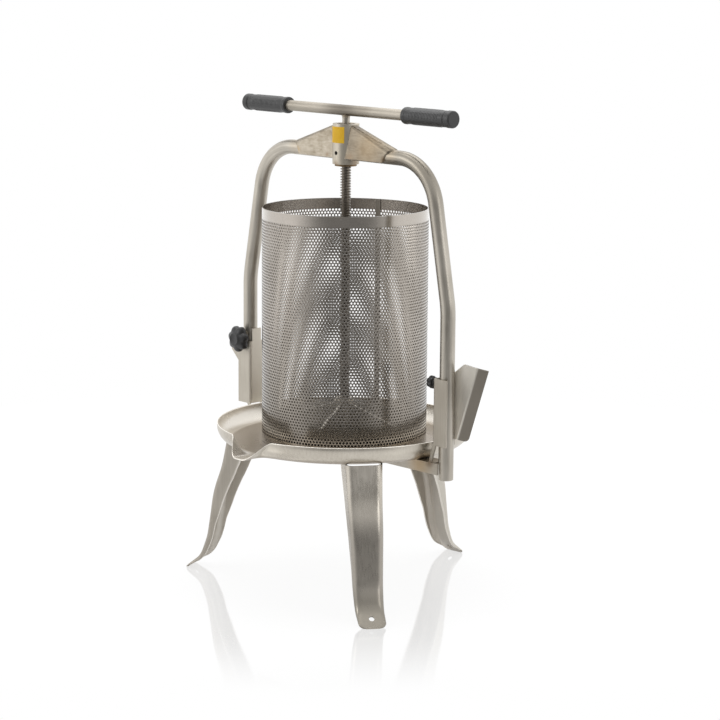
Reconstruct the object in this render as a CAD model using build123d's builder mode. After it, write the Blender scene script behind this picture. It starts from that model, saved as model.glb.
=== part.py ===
from build123d import *
import os
from math import asin, cos, degrees, radians, sin, tan

# Screw basket press. Millimetres, +Z up, origin on the screw's axis at floor level.
# X runs along the bow from its left upright to its right one, and -Y is the side of the spout.

# Tray
TRAY_RADIUS = 193.0
TRAY_UNDERSIDE = 222.5
TRAY_RIM = 251.0
TRAY_COVE = 24.0
TRAY_SHEET = 2.0
SPOUT_TIP = 215.0
SPOUT_TOP_HALF = 44.0
SPOUT_FLOOR_HALF = 15.0
SPOUT_ROOT = 150.0

# Legs, placed by azimuth from the spout towards +X
LEG_AZIMUTHS = {"leg_front_right": 57.0, "leg_front_left": -63.0, "leg_rear": 182.5}
LEG_REACH = 265.0
LEG_SHEET = 2.5
LEG_TOP_WIDTH = 53.0
LEG_FOOT_WIDTH = 40.5
LEG_WEB = [(181.0, 227.5), (193.5, 168.0), (208.5, 128.0), (214.0, 90.0), (220.0, 54.0)]
LEG_WEB_BEND = [200.0, 200.0, 200.0, 100.0]
LEG_FLANGE_EDGE = [(140.0, 227.5), (177.0, 150.0), (200.5, 88.0), (212.5, 47.0)]
TOE_SLOPE = 40.0
TOE_SLOPE_START = (232.0, 21.0)
TOE_BEND = 28.0
FOOT_HOLE_RADIUS = 4.2
FOOT_HOLE_ALONG_SLOPE = 16.5

# Cross beam and the two brackets for the bow
BEAM_WIDTH = 28.0
BEAM_SHEET = 2.5
BEAM_DEPTH = 16.5
BEAM_TOP_HALF = 204.0
BEAM_WALL_HALF = 215.0
BRACKET_BOTTOM = 249.0
BRACKET_TOP = 348.0
BRACKET_INNER = 204.0
BRACKET_OUTER = 232.0
BRACKET_BEND = 2.5
BRACKET_TAB_FOOT = 197.0
BRACKET_TAB_HEAD = 205.0
BRACKET_TAB_WIDTH = 5.5
LEFT_WEB_TOP = 368.0
EAR_OUTER = 248.0
EAR_INNER = 211.0
EAR_TOP = 362.5
EAR_FOOT = 315.0
EAR_SHOULDER = 331.0
WING_ROOT = 222.0
WING_SHOULDER = (211.0, 348.0)
WING_PEAK = (241.6, 370.8)
WING_CREASE_FOOT = (228.0, 258.0)
WING_CREASE_HEAD = (267.0, 368.3)
WING_LIP = 17.0
WING_LIP_TURN = 45.0
WING_BEND = 5.0
WING_CORNER = 7.0

# Bow
TUBE_RADIUS = 11.0
TUBE_WALL = 2.0
UPRIGHT_X = 219.0
CROSSBAR_Z = 660.0
BOW_CORNER_X = 180.0
BOW_BEND = 75.0
KINK_Z = 450.0
KINK_BEND = 150.0
LEFT_TUBE_BOTTOM = 250.0
RIGHT_TUBE_BOTTOM = 198.0
BOSS_RADIUS = 20.0
BOSS_BOTTOM = 643.0
BOSS_TOP = 703.0
WELD_GAP = 0.3
GUSSET_WIDTH = 30.0
GUSSET_SHEET = 2.0
GUSSET_START = 10.0
GUSSET_RIDGE = 704.3
GUSSET_RIDGE_HALF = 7.5
GUSSET_END = 104.0
GUSSET_END_FOOT = 91.0
GUSSET_END_RIDGE = 673.6
GUSSET_END_RIDGE_HALF = 13.0
GUSSET_BOTTOM = 652.0
GUSSET_BEND = 3.5
LABEL_BOTTOM = 675.0
LABEL_TOP = 699.0
LABEL_HALF_ANGLE = 40.0
LABEL_THICKNESS = 0.3

# Screw, nut and T-handle
PITCH = 4.0
THREAD_RADIUS = 8.0
THREAD_ROOT_RADIUS = 5.75
THREAD_CREST = 0.366 * PITCH
THREAD_FLANK = (THREAD_RADIUS - THREAD_ROOT_RADIUS) * tan(radians(15.0))
THREAD_BOTTOM = 288.0
THREAD_TURNS = 103
NUT_RADIUS = 13.95
NUT_TOP = 701.0
NUT_COLLAR_RADIUS = 16.5
NUT_COLLAR = 3.0
GRUB_RADIUS = 3.0
GRUB_Z = 660.0
JOURNAL_RADIUS = 5.5
JOURNAL_BOTTOM = 248.5
NECK_RADIUS = 5.7
BAR_Z = 722.5
BAR_RADIUS = 8.0
BAR_WALL = 2.0
BAR_HALF = 221.0
GRIP_INNER = 127.5
GRIP_OUTER = 225.5
GRIP_RADIUS = 11.8
GRIP_FLANGE_RADIUS = 13.4
GRIP_FLANGE = 7.0
GRIP_CAP = 10.0
FIT_GAP = 0.05
LOOSE_GAP = 0.3

# Press plate
PLATE_RADIUS = 120.0
PLATE_BOTTOM = 244.0
PLATE_SHEET = 3.0
PLATE_RIM_TOP = 257.0
HUB_RADIUS = 16.0
HUB_TOP = 284.0
FIN_COUNT = 6
FIN_AZIMUTH = 29.0
FIN_THICKNESS = 4.0
FIN_OUTER = 116.7
FIN_END = 13.5
FIN_EDGE = 3.5
WASHER_RADIUS = 13.0
WASHER_TOP = 287.7
PIN_RADIUS = 2.0
PIN_Z = 262.0
GROOVE_RADIUS = 3.6
GROOVE_HALF = 2.3

# Basket
BASKET_RADIUS = 125.0
BASKET_SHEET = 1.5
BASKET_BOTTOM = 224.7
BASKET_TOP = 578.0
SEAM_AZIMUTH = 203.0
SEAM_WIDTH = 8.0

# Clamp screws
CLAMP_Z = 352.0
RIGHT_CLAMP_Z = 339.0
STUD_TIP_GAP = 0.4
STUD_RADIUS = 4.0
RIGHT_STUD_RADIUS = 3.0
STUD_PLAY = 0.08
LEFT_NUT_DEPTH = 4.5
RIGHT_NUT_DEPTH = 5.5
NUT_FLATS = 13.0
RIGHT_NUT_FLATS = 10.0
STAR_LOBES = 7
STAR_RADIUS = 21.5
STAR_LOBE_RADIUS = 6.0
STAR_THICKNESS = 14.0
STAR_GAP = 0.8
SMALL_KNOB_RADIUS = 8.7
SMALL_KNOB_THICKNESS = 11.0
SMALL_KNOB_STANDOFF = 3.5

os.makedirs("parts", exist_ok=True)


def finish(piece, label):
    """Name a finished piece and write it out."""
    piece.part.label = label
    export_step(piece.part, f"parts/{label}.step")


def outward(azimuth):
    """Unit vector that points away from the screw's axis at an azimuth from the spout."""
    return Vector(sin(radians(azimuth)), -cos(radians(azimuth)), 0)


def radial_plane(azimuth):
    """Upright plane through the axis: local x is the radius, local y is the height."""
    return Plane(origin=(0, 0, 0), x_dir=outward(azimuth), z_dir=outward(azimuth).cross(Vector(0, 0, 1)))


def tangent_plane(azimuth, distance):
    """Upright plane square to the radius: local x runs along the tangent, local y is the height."""
    direction = outward(azimuth)
    return Plane(origin=direction * distance, x_dir=Vector(0, 0, 1).cross(direction), z_dir=direction)


# Tray: a pressed dish, with its wall drawn out and down into a spout on the -Y side.
tray_floor = TRAY_UNDERSIDE + TRAY_SHEET
with BuildPart() as tray:
    for shrink, floor, height in (
        (0.0, TRAY_UNDERSIDE, TRAY_RIM),
        (TRAY_SHEET, tray_floor, TRAY_RIM + TRAY_SHEET),
    ):
        combine = Mode.SUBTRACT if shrink else Mode.ADD
        wall = TRAY_RADIUS - shrink
        cove = TRAY_COVE - shrink
        with BuildSketch(Plane.XZ):
            with BuildLine():
                floor_line = Line((0, floor), (wall - cove, floor))
                bend = TangentArc(floor_line @ 1, (wall, floor + cove), tangent=(1, 0))
                Polyline(bend @ 1, (wall, height), (0, height), (0, floor))
            make_face()
        revolve(axis=Axis.Z, mode=combine)
        if not shrink:
            with BuildSketch(Plane.XZ.offset(SPOUT_ROOT)):
                with BuildLine():
                    Polyline(
                        (-SPOUT_TOP_HALF - TRAY_SHEET, TRAY_RIM),
                        (-SPOUT_FLOOR_HALF - TRAY_SHEET, floor),
                        (SPOUT_FLOOR_HALF + TRAY_SHEET, floor),
                        (SPOUT_TOP_HALF + TRAY_SHEET, TRAY_RIM),
                        close=True,
                    )
                make_face()
            extrude(amount=SPOUT_TIP - SPOUT_ROOT + TRAY_SHEET)
        else:
            with BuildSketch(Plane.XZ.offset(SPOUT_ROOT)):
                with BuildLine():
                    Polyline(
                        (-SPOUT_TOP_HALF, height),
                        (-SPOUT_FLOOR_HALF, floor),
                        (SPOUT_FLOOR_HALF, floor),
                        (SPOUT_TOP_HALF, height),
                        close=True,
                    )
                make_face()
            extrude(amount=SPOUT_TIP, mode=Mode.SUBTRACT)
    with BuildSketch(Plane.YZ):
        with BuildLine():
            Polyline(
                (-TRAY_RADIUS, TRAY_RIM),
                (-SPOUT_TIP, TRAY_UNDERSIDE),
                (-SPOUT_TIP - TRAY_COVE, TRAY_UNDERSIDE),
                (-SPOUT_TIP - TRAY_COVE, TRAY_RIM),
                close=True,
            )
        make_face()
    extrude(amount=TRAY_RADIUS, both=True, mode=Mode.SUBTRACT)
finish(tray, "tray")

# Legs: a pressed channel whose web sweeps out to a sloping toe, with flanges that run out above the toe.
slope = radians(TOE_SLOPE)
slope_start = Vector(*TOE_SLOPE_START)
downhill = Vector(cos(slope), -sin(slope))
foot_hole = slope_start + downhill * FOOT_HOLE_ALONG_SLOPE
toe_tip = slope_start + downhill * (slope_start.Y / sin(slope) + 2 * LEG_SHEET)


def leg_outline(plane, inset):
    """Front view of a leg: wide at the tray, narrow at the floor, set in by the sheet if asked."""
    foot_half = LEG_FOOT_WIDTH / 2 - inset
    top_half = LEG_TOP_WIDTH / 2 - inset
    with BuildSketch(plane) as outline:
        with BuildLine():
            Polyline(
                (-foot_half, 0),
                (foot_half, 0),
                (top_half, TRAY_UNDERSIDE),
                (-top_half, TRAY_UNDERSIDE),
                close=True,
            )
        make_face()
    return outline.sketch


for leg_name, leg_azimuth in LEG_AZIMUTHS.items():
    side = radial_plane(leg_azimuth)
    front = tangent_plane(leg_azimuth, 0.0)
    inside = leg_outline(front, LEG_SHEET)
    outside = leg_outline(front, 0.0)
    with BuildPart() as leg:
        with BuildSketch(side):
            with BuildLine():
                web_line = FilletPolyline(*LEG_WEB, slope_start, radius=LEG_WEB_BEND)
                free_edge = Spline(*LEG_FLANGE_EDGE, slope_start)
                Line(web_line @ 0, free_edge @ 0)
            make_face()
        extrude(amount=LEG_TOP_WIDTH, both=True)
        extrude(inside, amount=LEG_REACH, mode=Mode.SUBTRACT)
        with BuildSketch(side):
            with BuildLine():
                FilletPolyline(*LEG_WEB, slope_start, toe_tip, radius=LEG_WEB_BEND + [TOE_BEND])
            trace(line_width=LEG_SHEET)
        extrude(amount=LEG_TOP_WIDTH, both=True)
        extrude(outside, amount=LEG_REACH, mode=Mode.INTERSECT)
        hole_plane = Plane(
            origin=side.from_local_coords((foot_hole.X, foot_hole.Y, 0)),
            z_dir=side.x_dir * sin(slope) + Vector(0, 0, 1) * cos(slope),
        )
        with BuildSketch(hole_plane):
            Circle(FOOT_HOLE_RADIUS)
        extrude(amount=LEG_SHEET, both=True, mode=Mode.SUBTRACT)
    finish(leg, leg_name)

# Cross beam: a folded channel, open below. Its side walls run on past the top to guide the right tube.
with BuildPart() as cross_beam:
    with BuildSketch(Plane.YZ):
        with Locations((0, TRAY_UNDERSIDE)):
            Rectangle(BEAM_WIDTH, BEAM_DEPTH, align=(Align.CENTER, Align.MAX))
        with Locations((0, TRAY_UNDERSIDE - BEAM_SHEET)):
            Rectangle(
                BEAM_WIDTH - 2 * BEAM_SHEET,
                BEAM_DEPTH,
                align=(Align.CENTER, Align.MAX),
                mode=Mode.SUBTRACT,
            )
    extrude(amount=BEAM_WALL_HALF, both=True)
    for hand in (-1, 1):
        end_middle = hand * (BEAM_TOP_HALF + BEAM_WALL_HALF) / 2
        with BuildSketch(Plane.XY.offset(TRAY_UNDERSIDE - BEAM_DEPTH)):
            with Locations((end_middle, 0)):
                Rectangle(BEAM_WALL_HALF - BEAM_TOP_HALF, BEAM_WIDTH - 2 * BEAM_SHEET)
        extrude(amount=BEAM_DEPTH, mode=Mode.SUBTRACT)
finish(cross_beam, "cross_beam")


def bracket(hand, back_end, extra_web, flange_shapes, clamp, stud_hole):
    """Folded channel round one upright, with two tabs that stand on the beam below its bends."""
    web_middle = hand * (BRACKET_INNER + BEAM_SHEET / 2)
    with BuildPart() as channel:
        with BuildSketch(Plane.XY.offset(BRACKET_BOTTOM)):
            with BuildLine():
                FilletPolyline(
                    (hand * back_end, fold),
                    (web_middle, fold),
                    (web_middle, -fold),
                    (hand * BRACKET_OUTER, -fold),
                    radius=BRACKET_BEND,
                )
            trace(line_width=BEAM_SHEET)
        extrude(amount=BRACKET_TOP - BRACKET_BOTTOM)
        if extra_web:
            with BuildSketch(Plane.XY.offset(BRACKET_TOP)):
                with Locations((web_middle, 0)):
                    Rectangle(BEAM_SHEET, BEAM_WIDTH - 4 * BRACKET_BEND)
            extrude(amount=extra_web)
        for shape, back_face in flange_shapes:
            with BuildSketch(Plane.XZ.offset(back_face)):
                with BuildLine():
                    Polyline(*[(hand * x, z) for x, z in shape], close=True)
                make_face()
            extrude(amount=BEAM_SHEET)
        with BuildSketch(clamp):
            Circle(stud_hole)
        extrude(amount=BEAM_WIDTH, mode=Mode.SUBTRACT)
    return channel


fold = BEAM_WIDTH / 2 - BEAM_SHEET / 2
left_clamp = Plane(origin=(-UPRIGHT_X, 0, CLAMP_Z), x_dir=(1, 0, 0), z_dir=(0, -1, 0))
right_clamp = Plane(origin=(UPRIGHT_X, 0, RIGHT_CLAMP_Z), x_dir=(0, 1, 0), z_dir=(-1, 0, 0))
tab = [
    (BRACKET_TAB_FOOT, TRAY_UNDERSIDE),
    (BRACKET_TAB_FOOT + BRACKET_TAB_WIDTH, TRAY_UNDERSIDE),
    (BRACKET_TAB_HEAD + BRACKET_TAB_WIDTH, BRACKET_BOTTOM),
    (BRACKET_TAB_HEAD + BRACKET_TAB_WIDTH, BRACKET_BOTTOM + BRACKET_BEND),
    (BRACKET_TAB_HEAD, BRACKET_BOTTOM + BRACKET_BEND),
    (BRACKET_TAB_HEAD, BRACKET_BOTTOM),
]
ear = [
    (BRACKET_OUTER, EAR_FOOT),
    (EAR_OUTER, EAR_SHOULDER),
    (EAR_OUTER, EAR_TOP),
    (EAR_INNER, EAR_TOP),
    (EAR_INNER, EAR_FOOT),
]
wing = [
    (WING_SHOULDER[0], WING_CREASE_FOOT[1]),
    WING_CREASE_FOOT,
    WING_CREASE_HEAD,
    WING_PEAK,
    WING_SHOULDER,
]
front_face = BEAM_WIDTH / 2 - BEAM_SHEET
back_face = -BEAM_WIDTH / 2
tabs = [(tab, front_face), (tab, back_face)]
left_hole = STUD_RADIUS + STUD_PLAY
right_hole = RIGHT_STUD_RADIUS + STUD_PLAY
left_extra = LEFT_WEB_TOP - BRACKET_TOP
bracket_left = bracket(-1, BRACKET_OUTER, left_extra, tabs + [(ear, front_face)], left_clamp, left_hole)
finish(bracket_left, "bracket_left")

# The right bracket's back flange spreads out to a leaning wing, whose outer margin is folded back as a lip.
right_channel = bracket(1, WING_ROOT, 0.0, tabs + [(wing, back_face)], right_clamp, right_hole)
crease_foot = Vector(WING_CREASE_FOOT[0], fold, WING_CREASE_FOOT[1])
crease = Vector(WING_CREASE_HEAD[0], fold, WING_CREASE_HEAD[1]) - crease_foot
lip_turn = radians(WING_LIP_TURN)
lip_plane = Plane(origin=crease_foot, x_dir=Vector(0, 1, 0).cross(crease), z_dir=crease)
lip_edge = (WING_LIP * cos(lip_turn), WING_LIP * sin(lip_turn))
with BuildPart() as bracket_right:
    add(right_channel.part)
    with BuildSketch(lip_plane):
        with BuildLine():
            FilletPolyline((-BEAM_SHEET, 0), (0, 0), lip_edge, radius=WING_BEND)
        trace(line_width=BEAM_SHEET)
    extrude(amount=crease.length)
    lip_corner = lip_plane.from_local_coords((*lip_edge, 0))
    fillet(bracket_right.edges().sort_by_distance(lip_corner)[0], radius=WING_CORNER)
finish(bracket_right, "bracket_right")

# Bow: two tubes bent from the boss out and down to the uprights.
tube_ends = {"bow_tube_left": (-1, LEFT_TUBE_BOTTOM), "bow_tube_right": (1, RIGHT_TUBE_BOTTOM)}
for tube_name, (hand, tube_bottom) in tube_ends.items():
    with BuildPart() as bow_tube:
        with BuildLine(Plane.XZ) as route:
            FilletPolyline(
                (hand * BOSS_RADIUS / 2, CROSSBAR_Z),
                (hand * BOW_CORNER_X, CROSSBAR_Z),
                (hand * UPRIGHT_X, KINK_Z),
                (hand * UPRIGHT_X, tube_bottom),
                radius=[BOW_BEND, KINK_BEND],
            )
        with BuildSketch(Plane(origin=route.line @ 0, z_dir=route.line % 0)):
            Circle(TUBE_RADIUS)
            Circle(TUBE_RADIUS - TUBE_WALL, mode=Mode.SUBTRACT)
        sweep()
        with BuildSketch(Plane.XY.offset(BOSS_BOTTOM)):
            Circle(BOSS_RADIUS + WELD_GAP)
        extrude(amount=BOSS_TOP - BOSS_BOTTOM, mode=Mode.SUBTRACT)
    finish(bow_tube, tube_name)

# Gussets: a sheet folded over the tube, high and narrow-ridged at the boss and closing down on the tube.
for gusset_name, hand in (("gusset_left", -1), ("gusset_right", 1)):
    with BuildPart() as gusset:
        for inset in (0.0, GUSSET_SHEET):
            for x, ridge_half, ridge in (
                (GUSSET_START, GUSSET_RIDGE_HALF, GUSSET_RIDGE),
                (GUSSET_END + inset, GUSSET_END_RIDGE_HALF, GUSSET_END_RIDGE),
            ):
                foot_half = GUSSET_WIDTH / 2 - inset
                with BuildSketch(Plane.YZ.offset(hand * x)):
                    with BuildLine():
                        Polyline(
                            (-foot_half, GUSSET_BOTTOM - inset),
                            (foot_half, GUSSET_BOTTOM - inset),
                            (ridge_half - inset, ridge - inset),
                            (inset - ridge_half, ridge - inset),
                            close=True,
                        )
                    make_face()
            loft(ruled=True, mode=Mode.SUBTRACT if inset else Mode.ADD)
            if not inset:
                long_edges = gusset.edges().filter_by(lambda e: e.length > GUSSET_END / 2)
                fillet(long_edges.sort_by(Axis.Z)[-2:], GUSSET_BEND)
        with BuildSketch(Plane.XZ):
            with BuildLine():
                Polyline(
                    (hand * GUSSET_END_FOOT, GUSSET_BOTTOM - GUSSET_SHEET),
                    (hand * (GUSSET_END + WELD_GAP), GUSSET_RIDGE),
                    (hand * 2 * GUSSET_END, GUSSET_BOTTOM - GUSSET_SHEET),
                    close=True,
                )
            make_face()
        extrude(amount=GUSSET_WIDTH, both=True, mode=Mode.SUBTRACT)
        with BuildSketch(Plane.XY.offset(BOSS_BOTTOM)):
            Circle(BOSS_RADIUS + WELD_GAP)
        extrude(amount=2 * (BOSS_TOP - BOSS_BOTTOM), mode=Mode.SUBTRACT)
    finish(gusset, gusset_name)

# Nut boss: a thick sleeve with a tapped hole for the grub screw on the -Y side.
with BuildPart() as nut_boss:
    with BuildSketch(Plane.XY.offset(BOSS_BOTTOM)):
        Circle(BOSS_RADIUS)
        Circle(NUT_RADIUS + FIT_GAP, mode=Mode.SUBTRACT)
    extrude(amount=BOSS_TOP - BOSS_BOTTOM)
    with BuildSketch(Plane.XZ):
        with Locations((0, GRUB_Z)):
            Circle(GRUB_RADIUS + FIT_GAP)
    extrude(amount=BOSS_RADIUS + 1, mode=Mode.SUBTRACT)
finish(nut_boss, "nut_boss")

with BuildPart() as grub_screw:
    with BuildSketch(Plane.XZ.offset(NUT_RADIUS + FIT_GAP)):
        with Locations((0, GRUB_Z)):
            Circle(GRUB_RADIUS)
            RegularPolygon(GRUB_RADIUS / 2, 6, mode=Mode.SUBTRACT)
    extrude(amount=BOSS_RADIUS - NUT_RADIUS - 1)
finish(grub_screw, "grub_screw")

# Label: a thin blank sheet that follows the boss between the gussets.
with BuildPart() as label:
    with BuildSketch(Plane.XY.offset(LABEL_BOTTOM)):
        with BuildLine():
            first = -90 - LABEL_HALF_ANGLE
            near = CenterArc((0, 0), BOSS_RADIUS + FIT_GAP, first, 2 * LABEL_HALF_ANGLE)
            far = CenterArc((0, 0), BOSS_RADIUS + FIT_GAP + LABEL_THICKNESS, first, 2 * LABEL_HALF_ANGLE)
            Line(near @ 0, far @ 0)
            Line(near @ 1, far @ 1)
        make_face()
    extrude(amount=LABEL_TOP - LABEL_BOTTOM)
finish(label, "label")

# Thread nut: a bronze bush with a collar below and a bore that clears the crests of the screw.
with BuildPart() as thread_nut:
    with BuildSketch(Plane.XY.offset(BOSS_BOTTOM - NUT_COLLAR)):
        Circle(NUT_COLLAR_RADIUS)
    extrude(amount=NUT_COLLAR)
    with BuildSketch(Plane.XY.offset(BOSS_BOTTOM)):
        Circle(NUT_RADIUS)
    extrude(amount=NUT_TOP - BOSS_BOTTOM)
    with BuildSketch(Plane.XY.offset(BOSS_BOTTOM - NUT_COLLAR)):
        Circle(THREAD_RADIUS + LOOSE_GAP)
    extrude(amount=NUT_TOP - BOSS_BOTTOM + NUT_COLLAR, mode=Mode.SUBTRACT)
finish(thread_nut, "thread_nut")

# Screw: trapezoidal ridges at the thread's pitch, a turned journal with a pin groove below them, and a
# neck up to the handle bar. The whole is turned from one profile.
thread_top = THREAD_BOTTOM + PITCH * THREAD_TURNS
screw_profile = [
    (0, JOURNAL_BOTTOM),
    (JOURNAL_RADIUS, JOURNAL_BOTTOM),
    (JOURNAL_RADIUS, PIN_Z - GROOVE_HALF),
    (GROOVE_RADIUS, PIN_Z - GROOVE_HALF),
    (GROOVE_RADIUS, PIN_Z + GROOVE_HALF),
    (JOURNAL_RADIUS, PIN_Z + GROOVE_HALF),
    (JOURNAL_RADIUS, THREAD_BOTTOM),
]
for turn in range(THREAD_TURNS):
    ridge = THREAD_BOTTOM + PITCH * turn
    screw_profile += [
        (THREAD_RADIUS, ridge),
        (THREAD_RADIUS, ridge + THREAD_CREST),
        (THREAD_ROOT_RADIUS, ridge + THREAD_CREST + THREAD_FLANK),
        (THREAD_ROOT_RADIUS, ridge + PITCH - THREAD_FLANK),
    ]
screw_profile += [(NECK_RADIUS, thread_top), (NECK_RADIUS, BAR_Z), (0, BAR_Z)]
with BuildPart() as screw:
    with BuildSketch(Plane.XZ):
        with BuildLine():
            Polyline(*screw_profile, close=True)
        make_face()
    revolve(axis=Axis.Z)
    with BuildSketch(Plane.YZ):
        with Locations((0, BAR_Z)):
            Circle(BAR_RADIUS + FIT_GAP)
    extrude(amount=THREAD_RADIUS * 2, both=True, mode=Mode.SUBTRACT)
finish(screw, "screw")

# T-handle: a straight tube across the screw's neck, with a rubber grip pushed on each end.
with BuildPart() as handle_bar:
    with BuildSketch(Plane.YZ):
        with Locations((0, BAR_Z)):
            Circle(BAR_RADIUS)
            Circle(BAR_RADIUS - BAR_WALL, mode=Mode.SUBTRACT)
    extrude(amount=BAR_HALF, both=True)
finish(handle_bar, "handle_bar")

for grip_name, hand in (("grip_left", -1), ("grip_right", 1)):
    with BuildPart() as grip:
        bore = BAR_Z + BAR_RADIUS + FIT_GAP
        bore_end = BAR_HALF + FIT_GAP
        with BuildSketch(Plane.XZ):
            with BuildLine():
                Polyline(
                    (hand * GRIP_INNER, bore),
                    (hand * GRIP_INNER, BAR_Z + GRIP_RADIUS),
                    (hand * (GRIP_INNER + GRIP_FLANGE / 4), BAR_Z + GRIP_FLANGE_RADIUS),
                    (hand * (GRIP_INNER + GRIP_FLANGE), BAR_Z + GRIP_FLANGE_RADIUS),
                    (hand * (GRIP_INNER + GRIP_FLANGE), BAR_Z + GRIP_RADIUS),
                    (hand * (GRIP_OUTER - GRIP_CAP), BAR_Z + GRIP_RADIUS),
                    (hand * (GRIP_OUTER - GRIP_CAP), BAR_Z + GRIP_FLANGE_RADIUS),
                    (hand * (GRIP_OUTER - GRIP_FLANGE / 4), BAR_Z + GRIP_FLANGE_RADIUS),
                    (hand * GRIP_OUTER, BAR_Z + GRIP_RADIUS),
                    (hand * GRIP_OUTER, BAR_Z),
                    (hand * bore_end, BAR_Z),
                    (hand * bore_end, bore),
                    close=True,
                )
            make_face()
        revolve(axis=Axis((0, 0, BAR_Z), (1, 0, 0)))
    finish(grip, grip_name)

# Press plate: a dished disc with an upturned rim, a hub for the screw's end, and fins between them.
plate_face = PLATE_BOTTOM + PLATE_SHEET
with BuildPart() as plate_disc:
    with BuildSketch(Plane.XY.offset(PLATE_BOTTOM)):
        Circle(PLATE_RADIUS)
    extrude(amount=PLATE_RIM_TOP - PLATE_BOTTOM)
    with BuildSketch(Plane.XY.offset(plate_face)):
        Circle(PLATE_RADIUS - PLATE_SHEET)
    extrude(amount=PLATE_RIM_TOP - plate_face, mode=Mode.SUBTRACT)
finish(plate_disc, "plate_disc")

pin_offset = GROOVE_RADIUS + LOOSE_GAP + PIN_RADIUS
pin_spots = [(-pin_offset, PIN_Z), (pin_offset, PIN_Z)]
with BuildPart() as plate_hub:
    with BuildSketch(Plane.XY.offset(plate_face)):
        Circle(HUB_RADIUS)
        Circle(JOURNAL_RADIUS + LOOSE_GAP, mode=Mode.SUBTRACT)
    extrude(amount=HUB_TOP - plate_face)
    with BuildSketch(Plane.XZ):
        with Locations(*pin_spots):
            Circle(PIN_RADIUS + FIT_GAP / 2)
    extrude(amount=HUB_RADIUS, both=True, mode=Mode.SUBTRACT)
finish(plate_hub, "plate_hub")

with BuildPart() as hub_pins:
    pin_half = HUB_RADIUS * cos(asin(pin_offset / HUB_RADIUS)) - PIN_RADIUS / 2
    with BuildSketch(Plane.XZ):
        with Locations(*pin_spots):
            Circle(PIN_RADIUS)
    extrude(amount=pin_half, both=True)
finish(hub_pins, "hub_pins")

with BuildPart() as thrust_washer:
    with BuildSketch(Plane.XY.offset(HUB_TOP)):
        Circle(WASHER_RADIUS)
        Circle(JOURNAL_RADIUS + LOOSE_GAP, mode=Mode.SUBTRACT)
    extrude(amount=WASHER_TOP - HUB_TOP)
finish(thrust_washer, "thrust_washer")

with BuildPart() as plate_fins:
    for fin in range(FIN_COUNT):
        with BuildSketch(radial_plane(FIN_AZIMUTH + fin * 360 / FIN_COUNT)):
            with BuildLine():
                Polyline(
                    (HUB_RADIUS + WELD_GAP, plate_face),
                    (FIN_OUTER, plate_face),
                    (FIN_OUTER, plate_face + FIN_END),
                    (HUB_RADIUS + WELD_GAP, HUB_TOP - FIN_EDGE),
                    close=True,
                )
            make_face()
        extrude(amount=FIN_THICKNESS / 2, both=True)
finish(plate_fins, "plate_fins")

# Basket: a rolled sheet, open at both ends, with a lap strip inside its seam.
with BuildPart() as basket_shell:
    with BuildSketch(Plane.XY.offset(BASKET_BOTTOM)):
        Circle(BASKET_RADIUS)
        Circle(BASKET_RADIUS - BASKET_SHEET, mode=Mode.SUBTRACT)
    extrude(amount=BASKET_TOP - BASKET_BOTTOM)
finish(basket_shell, "basket_shell")

seam_outer = BASKET_RADIUS - BASKET_SHEET - FIT_GAP
seam_span = degrees(SEAM_WIDTH / seam_outer)
with BuildPart() as basket_seam:
    with BuildSketch(Plane.XY.offset(BASKET_BOTTOM)):
        with BuildLine():
            first = SEAM_AZIMUTH - 90 - seam_span / 2
            near = CenterArc((0, 0), seam_outer - BASKET_SHEET, first, seam_span)
            far = CenterArc((0, 0), seam_outer, first, seam_span)
            Line(near @ 0, far @ 0)
            Line(near @ 1, far @ 1)
        make_face()
    extrude(amount=BASKET_TOP - BASKET_BOTTOM)
finish(basket_seam, "basket_seam")


# Clamp screws: a nut on the left bracket's front flange and on the right one's web, a stud through each nut,
# and a knob on each stud. Distances run from the upright's axis.
def clamp_nut(clamp, face, flats, depth, hole):
    """Hexagon nut that stands on a bracket's face."""
    with BuildPart() as nut:
        with BuildSketch(clamp.offset(face)):
            RegularPolygon(flats / 2, 6, major_radius=False)
            Circle(hole, mode=Mode.SUBTRACT)
        extrude(amount=depth)
    return nut


def clamp_stud(clamp, radius, end):
    """Threaded stud from just short of the tube to its seat in the knob."""
    with BuildPart() as stud:
        with BuildSketch(clamp.offset(TUBE_RADIUS + STUD_TIP_GAP)):
            Circle(radius)
        extrude(amount=end - TUBE_RADIUS - STUD_TIP_GAP)
    return stud


flange_face = BEAM_WIDTH / 2
star_back = flange_face + LEFT_NUT_DEPTH + STAR_GAP
star_seat = star_back + STAR_THICKNESS * 0.75
left_clamp_nut = clamp_nut(left_clamp, flange_face, NUT_FLATS, LEFT_NUT_DEPTH, left_hole)
finish(left_clamp_nut, "left_clamp_nut")
left_knob_stud = clamp_stud(left_clamp, STUD_RADIUS, star_seat)
finish(left_knob_stud, "left_knob_stud")
with BuildPart() as left_knob:
    with BuildSketch(left_clamp.offset(star_back)):
        Circle(STAR_RADIUS - STAR_LOBE_RADIUS)
        with PolarLocations(STAR_RADIUS - STAR_LOBE_RADIUS, STAR_LOBES):
            Circle(STAR_LOBE_RADIUS)
    extrude(amount=STAR_THICKNESS)
    with BuildSketch(left_clamp.offset(star_back)):
        Circle(STUD_RADIUS + FIT_GAP)
    extrude(amount=star_seat - star_back + FIT_GAP, mode=Mode.SUBTRACT)
finish(left_knob, "left_knob")

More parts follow.
